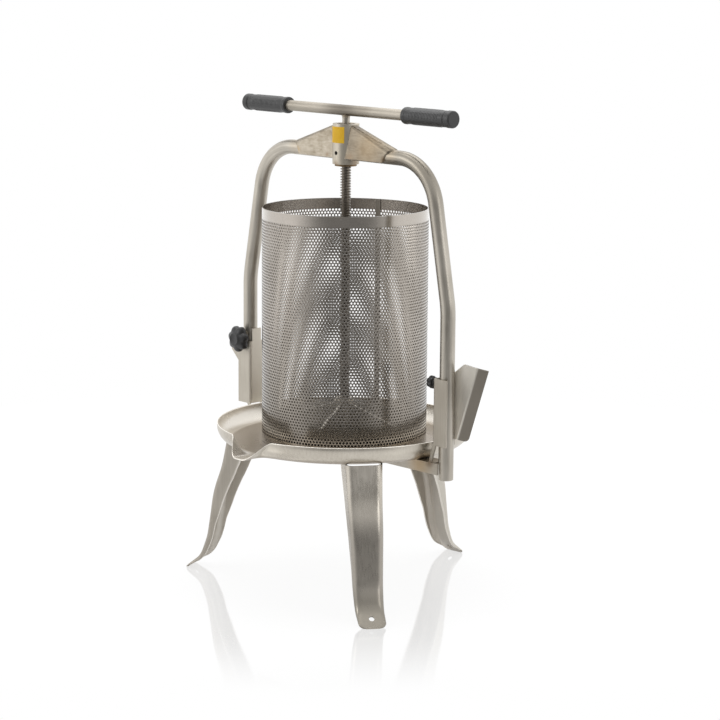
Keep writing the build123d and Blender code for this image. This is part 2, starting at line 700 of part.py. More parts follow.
web_face = UPRIGHT_X - BRACKET_INNER
small_back = web_face + RIGHT_NUT_DEPTH + SMALL_KNOB_STANDOFF
small_seat = small_back + SMALL_KNOB_THICKNESS * 0.75
right_clamp_nut = clamp_nut(right_clamp, web_face, RIGHT_NUT_FLATS, RIGHT_NUT_DEPTH, right_hole)
finish(right_clamp_nut, "right_clamp_nut")
right_knob_stud = clamp_stud(right_clamp, RIGHT_STUD_RADIUS, small_seat)
finish(right_knob_stud, "right_knob_stud")
with BuildPart() as right_knob:
    with BuildSketch(right_clamp.offset(small_back)):
        Circle(SMALL_KNOB_RADIUS)
    extrude(amount=SMALL_KNOB_THICKNESS)
    chamfer(right_knob.edges().filter_by(GeomType.CIRCLE), 1.0)
    with BuildSketch(right_clamp.offset(small_back)):
        Circle(RIGHT_STUD_RADIUS + FIT_GAP)
    extrude(amount=small_seat - small_back + FIT_GAP, mode=Mode.SUBTRACT)
finish(right_knob, "right_knob")
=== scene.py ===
from math import radians

import bpy
import numpy as np
from mathutils import Matrix, Vector


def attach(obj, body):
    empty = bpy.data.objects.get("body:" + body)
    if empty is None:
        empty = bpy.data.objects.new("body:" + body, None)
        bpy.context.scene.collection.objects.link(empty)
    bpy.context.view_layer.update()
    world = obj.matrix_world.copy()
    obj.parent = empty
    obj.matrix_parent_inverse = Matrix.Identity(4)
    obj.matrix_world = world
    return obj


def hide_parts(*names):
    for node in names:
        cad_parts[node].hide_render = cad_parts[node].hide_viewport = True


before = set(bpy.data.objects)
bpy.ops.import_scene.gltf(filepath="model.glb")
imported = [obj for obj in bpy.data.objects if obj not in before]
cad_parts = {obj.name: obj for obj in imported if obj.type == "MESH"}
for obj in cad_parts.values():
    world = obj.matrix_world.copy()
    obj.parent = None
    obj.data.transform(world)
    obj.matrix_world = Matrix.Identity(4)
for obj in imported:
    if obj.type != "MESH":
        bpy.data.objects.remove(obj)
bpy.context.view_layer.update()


# Three legs, each one blank of stainless sheet pressed to a channel. The web sweeps out to a toe that is
# drilled for a floor screw, the two flanges run out above it, and their tops are welded under the tray.
MM = 0.001
TRAY_UNDERSIDE = 222.5
LEG_SHEET = 2.5
LEG_BEND = 9.0
LEG_FOOT_WIDTH = 40.5
LEG_TOP_WIDTH = 53.0
TOE_SLOPE = 40.0
TOE_END = 257.03
TOE_CORNER = 9.5
TOE_STEPS = 12
TOE_HOLE = (244.64, 10.39)
TOE_HOLE_RADIUS = 4.2
TOE_HOLE_LENGTH = 12.0
WEB_CORNERS = [
    (182.1, TRAY_UNDERSIDE), (193.5, 168), (208.5, 128), (214, 90), (220, 54), (232, 21), (TOE_END, 0)
]
WEB_BENDS = [200, 200, 200, 100, 28]
WEB_STEP = 4.0
SQUARE_BELOW = 20.0
LEVEL_ABOVE = 70.0
FLANGE_HEIGHTS = [0, 4, 10, 18, 30, 45, 75, 102, 130, 150, 170, 222.5]
FLANGE_DEPTHS = [0, 0, 2, 5, 8.5, 10.5, 12.5, 18.5, 24, 27, 29, 41]
LEAST_FLANGE = 0.3
FLANGE_SPREAD = 0.08
# Painted highlight along the flanges' free edges, left off the rows of the toe.
EDGE_HIGHLIGHT = 0.8
TOE_ROWS_WITHOUT_HIGHLIGHT = 14
ARC_POINTS = 24


def rounded(corners, radii, step):
    """Line through the corners with a circular arc of each given radius at each inner corner.

    An arc starts and ends one tangent length, radius times tan(half the turn), from its corner.
    The result is resampled evenly, about one point per step of length.
    """
    corners = np.asarray(corners, float)
    points = [corners[0]]
    for before, corner, after, radius in zip(corners, corners[1:], corners[2:], radii):
        into = (corner - before) / np.linalg.norm(corner - before)
        out = (after - corner) / np.linalg.norm(after - corner)
        turn = np.arccos(np.clip(into @ out, -1, 1))
        side = out - into * (into @ out)
        side = side / np.linalg.norm(side)
        start = corner - into * radius * np.tan(turn / 2)
        angle = np.linspace(0, turn, ARC_POINTS)[:, None]
        points.extend(start + radius * (np.sin(angle) * into + (1 - np.cos(angle)) * side))
    points = np.array(points + [corners[-1]])
    run = np.append(0, np.cumsum(np.linalg.norm(np.diff(points, axis=0), axis=1)))
    even = np.linspace(0, run[-1], int(run[-1] / step) + 2)
    return np.stack([np.interp(even, run, points[:, k]) for k in range(points.shape[1])], -1)


BEND_POINTS = 7
FLANGE_POINTS = 7
WEB_POINTS = 9
LARGEST_BEND = 0.9


def channel_loop(half_open, half_web, depth, bend, sheet):
    """Closed outline of a folded channel for each station, as (across, deep) pairs.

    The middle line runs down one flange, round a bend arc, across the web and up the other flange.
    The outline is that line moved half a sheet outwards, then back half a sheet inwards. A bend takes up no
    more than most of the depth.
    """
    half_open, half_web, depth, bend = np.broadcast_arrays(
        *[np.atleast_1d(np.asarray(v, float))[:, None] for v in (half_open, half_web, depth, bend)]
    )
    lean = np.arctan2(depth, half_open - half_web)
    bend = np.minimum(bend, LARGEST_BEND * depth / np.tan(lean / 2))
    length = np.hypot(depth, half_open - half_web)
    tangent = bend * np.tan(lean / 2)
    alpha = lean * np.linspace(0, 1, BEND_POINTS)
    bend_across = half_web - tangent + bend * np.sin(alpha)
    bend_deep = bend - bend * np.cos(alpha)
    along = tangent + (length - tangent) * np.linspace(0, 1, FLANGE_POINTS)[1:]
    flange_across = half_web + along * np.cos(lean)
    flange_deep = along * np.sin(lean)
    across = np.concatenate([bend_across, flange_across], 1)
    deep = np.concatenate([bend_deep, flange_deep], 1)
    normal_across = np.concatenate([np.sin(alpha), np.sin(lean) + 0 * along], 1)
    normal_deep = np.concatenate([-np.cos(alpha), -np.cos(lean) + 0 * along], 1)
    web = np.linspace(-1, 1, WEB_POINTS)[1:-1] * bend_across[:, :1]
    across = np.concatenate([-across[:, ::-1], web, across], 1)
    deep = np.concatenate([deep[:, ::-1], 0 * web, deep], 1)
    normal_across = np.concatenate([-normal_across[:, ::-1], 0 * web, normal_across], 1)
    normal_deep = np.concatenate([normal_deep[:, ::-1], 0 * web - 1, normal_deep], 1)
    outer = np.stack([across + normal_across * sheet / 2, deep + normal_deep * sheet / 2], -1)
    inner = np.stack([across - normal_across * sheet / 2, deep - normal_deep * sheet / 2], -1)
    return np.concatenate([outer, inner[:, ::-1]], 1)


def placed(name, data):
    """Puts a mesh, lamp or camera into the scene as an object of the given name."""
    thing = bpy.data.objects.new(name, data)
    bpy.context.scene.collection.objects.link(thing)
    return thing


CREASE = 38.0


def skin(name, grid, crease=CREASE):
    """Quad skin over a grid of points in millimetres: each row to the next, each column to the next.

    The last column joins the first, and one face closes the first row and one the last.
    The UV map gives metres along the columns (u) and along the rows (v), by mean spacing.
    """
    rows, cols = grid.shape[:2]
    i, j = np.meshgrid(np.arange(rows - 1), np.arange(cols), indexing="ij")
    k = (j + 1) % cols
    quads = np.stack([i * cols + j, i * cols + k, (i + 1) * cols + k, (i + 1) * cols + j], -1).reshape(-1, 4)
    faces = quads.tolist() + [list(range(cols))[::-1], list(range((rows - 1) * cols, rows * cols))]
    mesh = bpy.data.meshes.new(name)
    mesh.from_pydata((grid.reshape(-1, 3) * MM).tolist(), [], faces)
    closed = np.concatenate([grid, grid[:, :1]], 1)
    u = np.append(0, np.cumsum(np.linalg.norm(np.diff(closed, axis=1), axis=2).mean(0))) * MM
    v = np.append(0, np.cumsum(np.linalg.norm(np.diff(grid, axis=0), axis=2).mean(1))) * MM
    corner_u = np.stack([u[j], u[j + 1], u[j + 1], u[j]], -1).reshape(-1)
    corner_v = np.stack([v[i], v[i], v[i + 1], v[i + 1]], -1).reshape(-1)
    uv = np.zeros((len(mesh.loops), 2), np.float32)
    uv[: len(corner_u)] = np.stack([corner_u, corner_v], -1)
    mesh.uv_layers.new(name="sheet").data.foreach_set("uv", uv.ravel())
    mesh.shade_smooth()
    mesh.set_sharp_from_angle(angle=radians(crease))
    return placed(name, mesh)


def mark(piece, attribute, values):
    """Writes one number per point of a piece, in the order of its grid, as an attribute for its material."""
    values = np.asarray(values, np.float32).ravel()
    piece.data.attributes.new(attribute, "FLOAT", "POINT").data.foreach_set("value", values)


def plug(tree, node, inputs):
    """Fills a node's inputs: the output of another node is linked, and anything else is a fixed value."""
    for socket, value in inputs.items():
        if isinstance(value, bpy.types.NodeSocket):
            tree.links.new(value, node.inputs[socket])
        else:
            node.inputs[socket].default_value = value


def add_node(tree, kind, output, inputs, **settings):
    """Adds a shader node with its settings, then its inputs, and gives back the named output."""
    node = tree.nodes.new("ShaderNode" + kind)
    for setting, choice in settings.items():
        setattr(node, setting, choice)
    plug(tree, node, inputs)
    return node.outputs[output]


def eased(tree, value, start, end, low, high, kind="SMOOTHSTEP"):
    """Takes a value from start..end to low..high, held at both ends, by a smooth step or by a straight line."""
    inputs = {"Value": value, "From Min": start, "From Max": end, "To Min": low, "To Max": high}
    return add_node(tree, "MapRange", "Result", inputs, interpolation_type=kind)


def tinted(tree, colour, tint, share):
    """Mixes a share of a fixed tint into a colour."""
    return add_node(tree, "Mix", "Result", {"Factor": share, "A": colour, "B": (*tint, 1)}, data_type="RGBA")


def two_tone(tree, value, dark, light, dark_at, light_at):
    """Colour that runs from dark to light between two places of a value."""
    ramp = tree.nodes.new("ShaderNodeValToRGB")
    for stop, position, colour in zip(ramp.color_ramp.elements, (dark_at, light_at), (dark, light)):
        stop.position = position
        stop.color = (*colour, 1)
    plug(tree, ramp, {"Fac": value})
    return ramp.outputs["Color"]


BRUSHING_SCALE = 420.0
BRUSHING_DETAIL = 4.0
BLOTCH_DETAIL = 3.0
BLOTCH_SHARE = 0.62
STEEL_STOPS = (0.36, 0.64)
ROUGHNESS_STOPS = (0.3, 0.7)
RELIEF_DEPTH = 0.0002
# Colour that painted highlights and painted light mix into steel.
HIGHLIGHT_PAINT = (0.95, 0.91, 0.84)


def steel(
    name, light, dark, rough, grain=(1, 1, 1), coordinates="Object", tint=(), shade=(), bump=0.15, light_attribute="",
    blotch=14.0, metal=1.0,
):
    """Brushed steel: colour from stretched fine noise over broad blotches, roughness and bump from the same.

    grain stretches the brushing, and a smaller blotch is a larger stain. Each tint, for heat colour and for
    painted shade round a point, is (centre in mm, reach in mm, colour, strength). Each shade, mostly for
    painted light and shade that grow along an axis, is (axis, none at mm, full at mm, colour, strength). The
    attribute given after bump is one where painted highlights and painted light lighten the metal.
    """
    material = bpy.data.materials.new(name)
    material.use_nodes = True
    tree = material.node_tree
    place = tree.nodes.new("ShaderNodeTexCoord").outputs
    stretched = add_node(tree, "Mapping", "Vector", {"Vector": place[coordinates], "Scale": grain})
    brushing = {"Vector": stretched, "Scale": BRUSHING_SCALE, "Detail": BRUSHING_DETAIL}
    blotches = {"Vector": place["Object"], "Scale": blotch, "Detail": BLOTCH_DETAIL}
    fine = add_node(tree, "TexNoise", "Fac", brushing)
    broad = add_node(tree, "TexNoise", "Fac", blotches)
    blend = add_node(tree, "Mix", "Result", {"Factor": BLOTCH_SHARE, "A": fine, "B": broad})
    colour = two_tone(tree, blend, dark, light, *STEEL_STOPS)
    for centre, reach, hue, strength in tint:
        ends = {0: place["Object"], 1: np.array(centre) * MM}
        away = add_node(tree, "VectorMath", "Value", ends, operation="DISTANCE")
        colour = tinted(tree, colour, hue, eased(tree, away, 0.0, reach * MM, strength, 0.0))
    for axis, none_at, full_at, tone, strength in shade:
        along = add_node(tree, "SeparateXYZ", axis, {"Vector": place["Object"]})
        colour = tinted(tree, colour, tone, eased(tree, along, none_at * MM, full_at * MM, 0.0, strength))
    if light_attribute:
        painted_light = add_node(tree, "Attribute", "Fac", {}, attribute_name=light_attribute)
        colour = tinted(tree, colour, HIGHLIGHT_PAINT, painted_light)
    spread = eased(tree, blend, *ROUGHNESS_STOPS, *rough, kind="LINEAR")
    relief = add_node(tree, "Bump", "Normal", {"Height": fine, "Strength": bump, "Distance": RELIEF_DEPTH})
    surface = {"Base Color": colour, "Metallic": metal, "Roughness": spread, "Normal": relief}
    plug(tree, tree.nodes["Principled BSDF"], surface)
    return material


def leg_surface(bearing):
    """Grid of one leg: channel outlines along the web's line, turned to the leg's bearing.

    At each station the outline's depth runs inwards, level above the toe and square to the web on it, and
    the last outline is cut level with the floor. The half width narrows evenly to the floor, with a quarter
    circle at the toe's corners, and the flange depth falls to none at the toe.
    """
    web = rounded(WEB_CORNERS, WEB_BENDS, WEB_STEP)
    tongue = np.linalg.norm(web[-1] - web, axis=1) < TOE_CORNER
    toe_share = np.sin(np.linspace(0, np.pi / 2, TOE_STEPS))[1:, None]
    toe_start = web[~tongue][-1]
    web = np.concatenate([web[~tongue], toe_start + toe_share * (web[-1] - toe_start)])
    travel = np.gradient(web, axis=0)
    travel = travel / np.linalg.norm(travel, axis=1, keepdims=True)
    square = np.stack([travel[:, 1], -travel[:, 0]], -1)
    level = np.clip((web[:, 1:] - SQUARE_BELOW) / (LEVEL_ABOVE - SQUARE_BELOW), 0, 1)
    inward = level * np.array([-1.0, 0.0]) + (1 - level) * square
    inward = inward / np.linalg.norm(inward, axis=1, keepdims=True)
    left = np.linalg.norm(web[-1] - web, axis=1)
    drawn_in = TOE_CORNER - np.sqrt(TOE_CORNER**2 - np.clip(TOE_CORNER - left, 0, TOE_CORNER) ** 2)
    width = LEG_FOOT_WIDTH + (LEG_TOP_WIDTH - LEG_FOOT_WIDTH) * web[:, 1] / TRAY_UNDERSIDE
    half = (width - LEG_SHEET) / 2 - drawn_in
    edge = np.interp(web[:, 1], FLANGE_HEIGHTS, FLANGE_DEPTHS)
    depth = np.maximum(edge, LEAST_FLANGE)
    loop = channel_loop(half + FLANGE_SPREAD * edge, half, depth, LEG_BEND, LEG_SHEET)
    radius = web[:, :1] + loop[..., 1] * inward[:, :1]
    height = web[:, 1:] + loop[..., 1] * inward[:, 1:]
    radius[-1] = TOE_END - loop[-1, :, 1] / np.sin(radians(TOE_SLOPE))
    height = np.maximum(height, 0.0)
    height[-1] = 0.0
    turn = radians(bearing)
    x = radius * np.sin(turn) + loop[..., 0] * np.cos(turn)
    y = -radius * np.cos(turn) + loop[..., 0] * np.sin(turn)
    return np.stack([x, y, height], -1)


HOLE_CORNERS = 24
HOLE_TURN = 0.4


def drill(piece, centre, axis, radius, length):
    """Cuts a many-sided round hole through a piece, along an axis through the centre, all in millimetres.

    Its corners are turned a little, so that none of them falls on the middle line of the sheet.
    """
    angle = 2 * np.pi * (np.arange(HOLE_CORNERS) + HOLE_TURN) / HOLE_CORNERS
    axis = np.asarray(axis, float) / np.linalg.norm(axis)
    first = np.cross(axis, (0, 0, 1))
    first = first / np.linalg.norm(first)
    ring = radius * (np.cos(angle)[:, None] * first + np.sin(angle)[:, None] * np.cross(axis, first))
    ends = np.array([-length / 2, length / 2])[:, None, None] * axis
    cutter = skin("cutter", np.asarray(centre) + ends + ring)
    cut = piece.modifiers.new("hole", "BOOLEAN")
    cut.operation = "DIFFERENCE"
    cut.object = cutter
    solid = piece.data
    piece.data = bpy.data.meshes.new_from_object(piece.evaluated_get(bpy.context.evaluated_depsgraph_get()))
    piece.data.name = piece.name
    piece.modifiers.clear()
    cutter_mesh = cutter.data
    bpy.data.objects.remove(cutter)
    bpy.data.meshes.remove(cutter_mesh)
    bpy.data.meshes.remove(solid)
    piece.data.set_sharp_from_angle(angle=radians(CREASE))


# Front leg steel, painted darker across the middle of the leg and again near the foot: painted shade.
leg_steel = steel(
    "leg steel",
    (0.66, 0.615, 0.545),
    (0.50, 0.46, 0.40),
    (0.20, 0.36),
    grain=(1, 1, 0.04),
    shade=[("Z", 190, 130, (0.32, 0.295, 0.26), 0.85), ("Z", 62, 26, (0.25, 0.23, 0.195), 0.85)],
    light_attribute="painted_light",
)
# Lighter steel for the side legs: painted light.
side_leg_steel = steel(
    "side leg steel",
    (0.50, 0.46, 0.40),
    (0.36, 0.325, 0.275),
    (0.34, 0.50),
    grain=(1, 1, 0.04),
    light_attribute="painted_light",
    metal=0.45,
)
# Rear leg steel, painted darker on the web's inner face and lighter on the right flange: painted shade and
# painted light.
rear_leg_steel = steel(
    "rear leg steel",
    (0.60, 0.55, 0.48),
    (0.43, 0.39, 0.33),
    (0.34, 0.50),
    grain=(1, 1, 0.04),
    shade=[("X", -21, -15, (0.28, 0.258, 0.22), 0.55), ("X", 5, 9, (0.74, 0.70, 0.62), 0.8)],
    light_attribute="painted_light",
    metal=0.45,
)
# Bearing from the spout in degrees, finish, and how much painted light lightens the inner face.
legs = {
    "leg_front_right": (57.0, leg_steel, 0.15),
    "leg_front_left": (-63.0, side_leg_steel, 0.5),
    "leg_rear": (182.5, rear_leg_steel, 0.15),
}
for leg_name, (bearing, leg_finish, inner_light) in legs.items():
    surface = leg_surface(bearing)
    leg = skin(leg_name + "_pressing", surface)
    # Painted light: the inner faces are painted lighter, and the flanges' free edges get a painted highlight.
    half_way = surface.shape[1] // 2
    painted_light = np.zeros(surface.shape[:2])
    painted_light[:, half_way:] = inner_light
    painted_light[:-TOE_ROWS_WITHOUT_HIGHLIGHT, [0, half_way - 1, half_way, -1]] = EDGE_HIGHLIGHT
    mark(leg, "painted_light", painted_light)
    turn = radians(bearing)
    slope = radians(TOE_SLOPE)
    hole = np.array([TOE_HOLE[0] * np.sin(turn), -TOE_HOLE[0] * np.cos(turn), TOE_HOLE[1]])
    upwards = (np.sin(turn) * np.sin(slope), -np.cos(turn) * np.sin(slope), np.cos(slope))
    drill(leg, hole, upwards, TOE_HOLE_RADIUS, TOE_HOLE_LENGTH)
    leg.data.materials.append(leg_finish)
    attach(leg, "stand")
    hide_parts(leg_name)


# Round tray, pressed from one disc of stainless sheet with a coved corner; its rim and inner wall carry painted
# highlights.
# On the -Y side its wall is drawn out and down into a pouring lip. Legs and beam are welded under it.
TRAY_RADIUS = 193.0
TRAY_RIM = 251.0
TRAY_COVE = 24.0
TRAY_SHEET = 2.0
LIP_RADIUS = 215.0
LIP_HEIGHT = 223.5
LIP_BEARING = 1.0
LIP_REACH = 13.5
LIP_FLAT = 2.0
BEARING_STEP = 1.0
FLOOR_START = 2.0
FLOOR_RINGS = 10
COVE_POINTS = 9
WALL_POINTS = 7
RIM_POINTS = 7
RIM_HIGHLIGHT = 0.7
INNER_WALL_HIGHLIGHT = 0.45


def smooth(value):
    """Smoothstep of a value held to 0..1: three times its square less twice its cube."""
    value = np.clip(value, 0, 1)
    return value * value * (3 - 2 * value)


def dish_section(inset, lip):
    """Half section from the floor's middle out to the rim, for each share of lip, as (radius, height).

    A round dish has a flat floor, a quarter-circle cove and an upright wall. At the lip the cove and wall
    become one straight slope to the lip's edge. Between the two every point is mixed by the share of lip.
    """
    floor = np.linspace(FLOOR_START, TRAY_RADIUS - TRAY_COVE, FLOOR_RINGS)
    turn = np.linspace(0, np.pi / 2, COVE_POINTS)[1:]
    centre = np.array([TRAY_RADIUS - TRAY_COVE, TRAY_UNDERSIDE + TRAY_COVE])
    cove = centre + (TRAY_COVE - inset) * np.stack([np.sin(turn), -np.cos(turn)], -1)
    wall_height = np.linspace(centre[1], TRAY_RIM - TRAY_SHEET / 2, WALL_POINTS)[1:]
    wall = np.stack([TRAY_RADIUS - inset + 0 * wall_height, wall_height], -1)
    round_side = np.concatenate([cove, wall])
    share = np.linspace(0, 1, len(round_side) + 1)[1:, None]
    slope_start = np.array([TRAY_RADIUS - TRAY_COVE, TRAY_UNDERSIDE + inset])
    slope_end = np.array([LIP_RADIUS - TRAY_SHEET, LIP_HEIGHT + inset - TRAY_SHEET / 2])
    lip_side = slope_start + share * (slope_end - slope_start)
    lip = lip[:, None, None]
    side = (1 - lip) * round_side + lip * lip_side
    flat = np.stack([floor, 0 * floor + TRAY_UNDERSIDE + inset], -1)
    return np.concatenate([np.broadcast_to(flat, (len(lip), *flat.shape)), side], 1)


bearing = np.arange(-180.0, 180.0, BEARING_STEP)
lip_share = smooth((LIP_REACH - abs(bearing - LIP_BEARING)) / (LIP_REACH - LIP_FLAT))
outside = dish_section(0.0, lip_share)
inside = dish_section(TRAY_SHEET, lip_share)
rim_middle = (outside[:, -1] + inside[:, -1]) / 2
rim_half = outside[:, -1] - rim_middle
rim_up = np.stack([lip_share, 1 - lip_share], -1)
rim_up = rim_up / np.linalg.norm(rim_up, axis=1, keepdims=True) * TRAY_SHEET / 2
rim_turn = np.pi * np.linspace(0, 1, RIM_POINTS)[1:-1, None]
rim = rim_middle[:, None] + np.cos(rim_turn) * rim_half[:, None] + np.sin(rim_turn) * rim_up[:, None]
section = np.concatenate([outside, rim, inside[:, ::-1]], 1).transpose(1, 0, 2)
around = np.radians(bearing)
tray_x = section[..., 0] * np.sin(around)
tray_y = -section[..., 0] * np.cos(around)
tray = skin("tray_pressing", np.stack([tray_x, tray_y, section[..., 1]], -1))
rim_start = outside.shape[1]
rim_end = rim_start + rim.shape[1]
# Painted highlights: the rim is painted lighter, and the inner wall and cove a little less.
highlight_rows = np.zeros(len(section))
highlight_rows[rim_start:rim_end] = RIM_HIGHLIGHT
highlight_rows[rim_end:-FLOOR_RINGS] = INNER_WALL_HIGHLIGHT
mark(tray, "light_attribute", np.repeat(highlight_rows, len(bearing)))
# Tray steel: the floor is painted dark towards the middle, a painted shadow under the basket, and browner at
# the bottom, a painted reflection of the dark basket.
tray_steel = steel(
    "tray steel",
    (0.60, 0.56, 0.49),
    (0.47, 0.43, 0.37),
    (0.24, 0.38),
    grain=(1, 1, 0.2),
    bump=0.04,
    tint=[((0, 0, 224), 165, (0.13, 0.11, 0.085), 1.6)],
    shade=[("Z", 231, 224, (0.30, 0.25, 0.195), 0.95)],
    light_attribute="light_attribute",
)
tray.data.materials.append(tray_steel)
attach(tray, "stand")
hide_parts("tray")


# Cross beam and two brackets, folded from sheet to channels that take the bow's uprights. The right bracket's
# back flange spreads to a wing with a folded lip. The welds below have left straw and brown heat colours.
STRAW = (0.50, 0.36, 0.20)
BROWN = (0.24, 0.17, 0.11)


def finish(material, *nodes):
    """Gives parts of the frame their finish."""
    for node in nodes:
        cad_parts[node].material_slots[0].material = material


beam_steel = steel(
    "beam steel",
    (0.56, 0.52, 0.455),
    (0.42, 0.38, 0.325),
    (0.28, 0.44),
    grain=(0.05, 1, 1),
    metal=0.6,
    tint=[
        ((178, -14, 216), 34, STRAW, 0.75),
        ((199, -14, 222), 12, BROWN, 0.8),
        ((-190, -14, 218), 30, STRAW, 0.6),
    ],
)
finish(beam_steel, "cross_beam")
# The left bracket's web is painted lighter on its inner face: painted light. The brown tint is heat colour from
# the weld.
bracket_steel = steel(
    "bracket steel",
    (0.58, 0.54, 0.47),
    (0.46, 0.42, 0.355),
    (0.34, 0.50),
    grain=(1, 1, 0.05),
    tint=[((-199, -14, 224), 9, BROWN, 0.7)],
    shade=[("X", -206.2, -204.4, (0.80, 0.745, 0.65), 1.0)],
    metal=0.75,
)
finish(bracket_steel, "bracket_left")
# The wing's plate is painted lighter and darker towards its crease, and its folded lip dark: painted light and
# shade. The brown tint is heat colour from the weld.
wing_steel = steel(
    "wing bracket steel",
    (0.54, 0.50, 0.43),
    (0.42, 0.38, 0.32),
    (0.44, 0.60),
    grain=(1, 1, 0.05),
    tint=[((199, -14, 224), 9, BROWN, 0.85)],
    shade=[
        ("Y", 8.0, 11.0, (0.95, 0.91, 0.83), 1.0),
        ("X", 228, 256, (0.50, 0.47, 0.415), 0.75),
        ("Y", 11.7, 13.8, (0.19, 0.168, 0.138), 0.95),
    ],
    metal=0.6,
)
finish(wing_steel, "bracket_right")


# Basket, rolled from perforated stainless sheet with plain margins, its ends lapped over a strip and spot
# welded. Round holes of 3.6 mm stand in a triangular pattern of 5 mm pitch.
BASKET_RADIUS = 125.0
BASKET_SHEET = 1.5
BASKET_BOTTOM = 224.7
BASKET_TOP = 578.0
HOLE_COLUMNS = 157
HOLE_ROWS = 75
HOLE_RADIUS = 1.8
HOLE_SIDES = 8
CELL_SIDES = 6
FIRST_HOLE_ROW = 239.2
BASKET_PANELS = 4


def zipped_ring():
    """Triangles between a hole and the six-sided cell round it: numbers of cell corners, then hole corners.

    Both rings start straight down and run the same way. Each step moves on along the ring whose next corner
    comes first.
    """
    corner, edge, triangles = 0, 0, []
    while corner < CELL_SIDES or edge < HOLE_SIDES:
        at_corner, at_edge = corner % CELL_SIDES, CELL_SIDES + edge % HOLE_SIDES
        if (corner + 1) / CELL_SIDES <= (edge + 1) / HOLE_SIDES:
            corner += 1
            triangles.append((at_corner, corner % CELL_SIDES, at_edge))
        else:
            edge += 1
            triangles.append((at_corner, CELL_SIDES + edge % HOLE_SIDES, at_edge))
    return np.array(triangles)


def perforated_sheet():
    """Flat pattern of the whole basket: points as (angle, height), triangles, and the panel of each triangle.

    Every hole sits in a six-sided cell. The cells' corners form zigzag lines between the rows of holes, a
    corner at every half pitch, and alternate corners lie a full or half cell radius below the row's centres.
    Rows are one and a half cell radii apart.
    """
    halves = 2 * HOLE_COLUMNS
    half_angle = 2 * np.pi / halves
    cell = BASKET_RADIUS * 2 * half_angle / np.sqrt(3)
    line, step = np.meshgrid(np.arange(HOLE_ROWS + 1), np.arange(halves), indexing="ij")
    rise = 1.5 * cell
    row_height = FIRST_HOLE_ROW + rise * line
    zigzag = np.stack([step * half_angle, row_height - np.where((step - line) % 2, cell / 2, cell)], -1)
    margins = [
        np.stack([step[0] * half_angle, edge + 0.0 * step[0]], -1) for edge in (BASKET_BOTTOM, BASKET_TOP)
    ]
    row, column = np.meshgrid(np.arange(HOLE_ROWS), np.arange(HOLE_COLUMNS), indexing="ij")
    middle = 2 * column + row % 2
    turn = 2 * np.pi * np.arange(HOLE_SIDES) / HOLE_SIDES - np.pi / 2
    hole_angle = middle[..., None] * half_angle + HOLE_RADIUS * np.cos(turn) / BASKET_RADIUS
    hole_height = FIRST_HOLE_ROW + rise * row[..., None] + HOLE_RADIUS * np.sin(turn)
    hole = np.stack([hole_angle, hole_height], -1)
    points = np.concatenate([zigzag.reshape(-1, 2), hole.reshape(-1, 2), *margins])
    first_hole = zigzag.shape[0] * halves
    first_margin = first_hole + hole.size // 2
    here, right, left = middle % halves, (middle + 1) % halves, (middle - 1) % halves
    low, high = row * halves, (row + 1) * halves
    corners = np.stack([low + here, low + right, high + right, high + here, high + left, low + left], -1)
    edges = first_hole + (row * HOLE_COLUMNS + column)[..., None] * HOLE_SIDES + np.arange(HOLE_SIDES)
    ring = np.concatenate([corners, edges], -1)[..., zipped_ring()]
    panel = np.broadcast_to((column * BASKET_PANELS // HOLE_COLUMNS)[..., None], ring.shape[:3])
    side = np.arange(halves)
    after = (side + 1) % halves
    low_edge, high_edge, last_line = first_margin, first_margin + halves, HOLE_ROWS * halves
    strips = [
        np.stack([low_edge + side, low_edge + after, after], -1),
        np.stack([low_edge + side, after, side], -1),
        np.stack([last_line + side, last_line + after, high_edge + after], -1),
        np.stack([last_line + side, high_edge + after, high_edge + side], -1),
    ]
    strip_panel = ((side + 1) // 2 % HOLE_COLUMNS) * BASKET_PANELS // HOLE_COLUMNS
    triangles = np.concatenate([ring.reshape(-1, 3), *strips])
    return points, triangles, np.concatenate([panel.reshape(-1), *[strip_panel] * 4])


def rolled_panel(name, points, triangles):
    """Rolls a flat pattern to the basket's radius and gives it thickness.

    The inner skin repeats the outer one, reversed and one sheet further in, and every edge with a face on one
    side only, round each hole and along each border, gets a wall between the two. The skins' normals point
    straight away from or to the axis, so the panels join without a line.
    """
    used, triangles = np.unique(triangles, return_inverse=True)
    triangles = triangles.reshape(-1, 3)
    angle, height = points[used].T
    skins = [
        np.stack([radius * np.sin(angle), -radius * np.cos(angle), height], -1)
        for radius in (BASKET_RADIUS, BASKET_RADIUS - BASKET_SHEET)
    ]
    count = len(used)
    edges = np.concatenate([triangles[:, pair] for pair in ([0, 1], [1, 2], [2, 0])]).astype(np.int64)
    lone = edges[~np.isin(edges[:, 0] * count + edges[:, 1], edges[:, 1] * count + edges[:, 0])]
    start, end = lone.T
    walls = np.concatenate(
        [np.stack([end, start, start + count], -1), np.stack([end, start + count, end + count], -1)]
    )
    faces = np.concatenate([triangles, triangles[:, ::-1] + count, walls]).astype(np.int32)
    mesh = bpy.data.meshes.new(name)
    mesh.vertices.add(2 * count)
    mesh.vertices.foreach_set("co", (np.concatenate(skins) * MM).astype(np.float32).ravel())
    mesh.loops.add(faces.size)
    mesh.loops.foreach_set("vertex_index", faces.ravel())
    mesh.polygons.add(len(faces))
    mesh.polygons.foreach_set("loop_start", np.arange(0, faces.size, 3, dtype=np.int32))
    mesh.update(calc_edges=True)
    mesh.shade_smooth()
    outward = np.stack([np.sin(angle), -np.cos(angle), 0 * angle], -1)
    rolled = np.concatenate([outward[triangles], -outward[triangles[:, ::-1]]])
    corner = np.concatenate(skins)[walls]
    cut = np.cross(corner[:, 1] - corner[:, 0], corner[:, 2] - corner[:, 0])
    cut = cut / np.linalg.norm(cut, axis=1, keepdims=True)
    mesh.normals_split_custom_set(np.concatenate([rolled.reshape(-1, 3), np.repeat(cut, 3, axis=0)]))
    return placed(name, mesh)


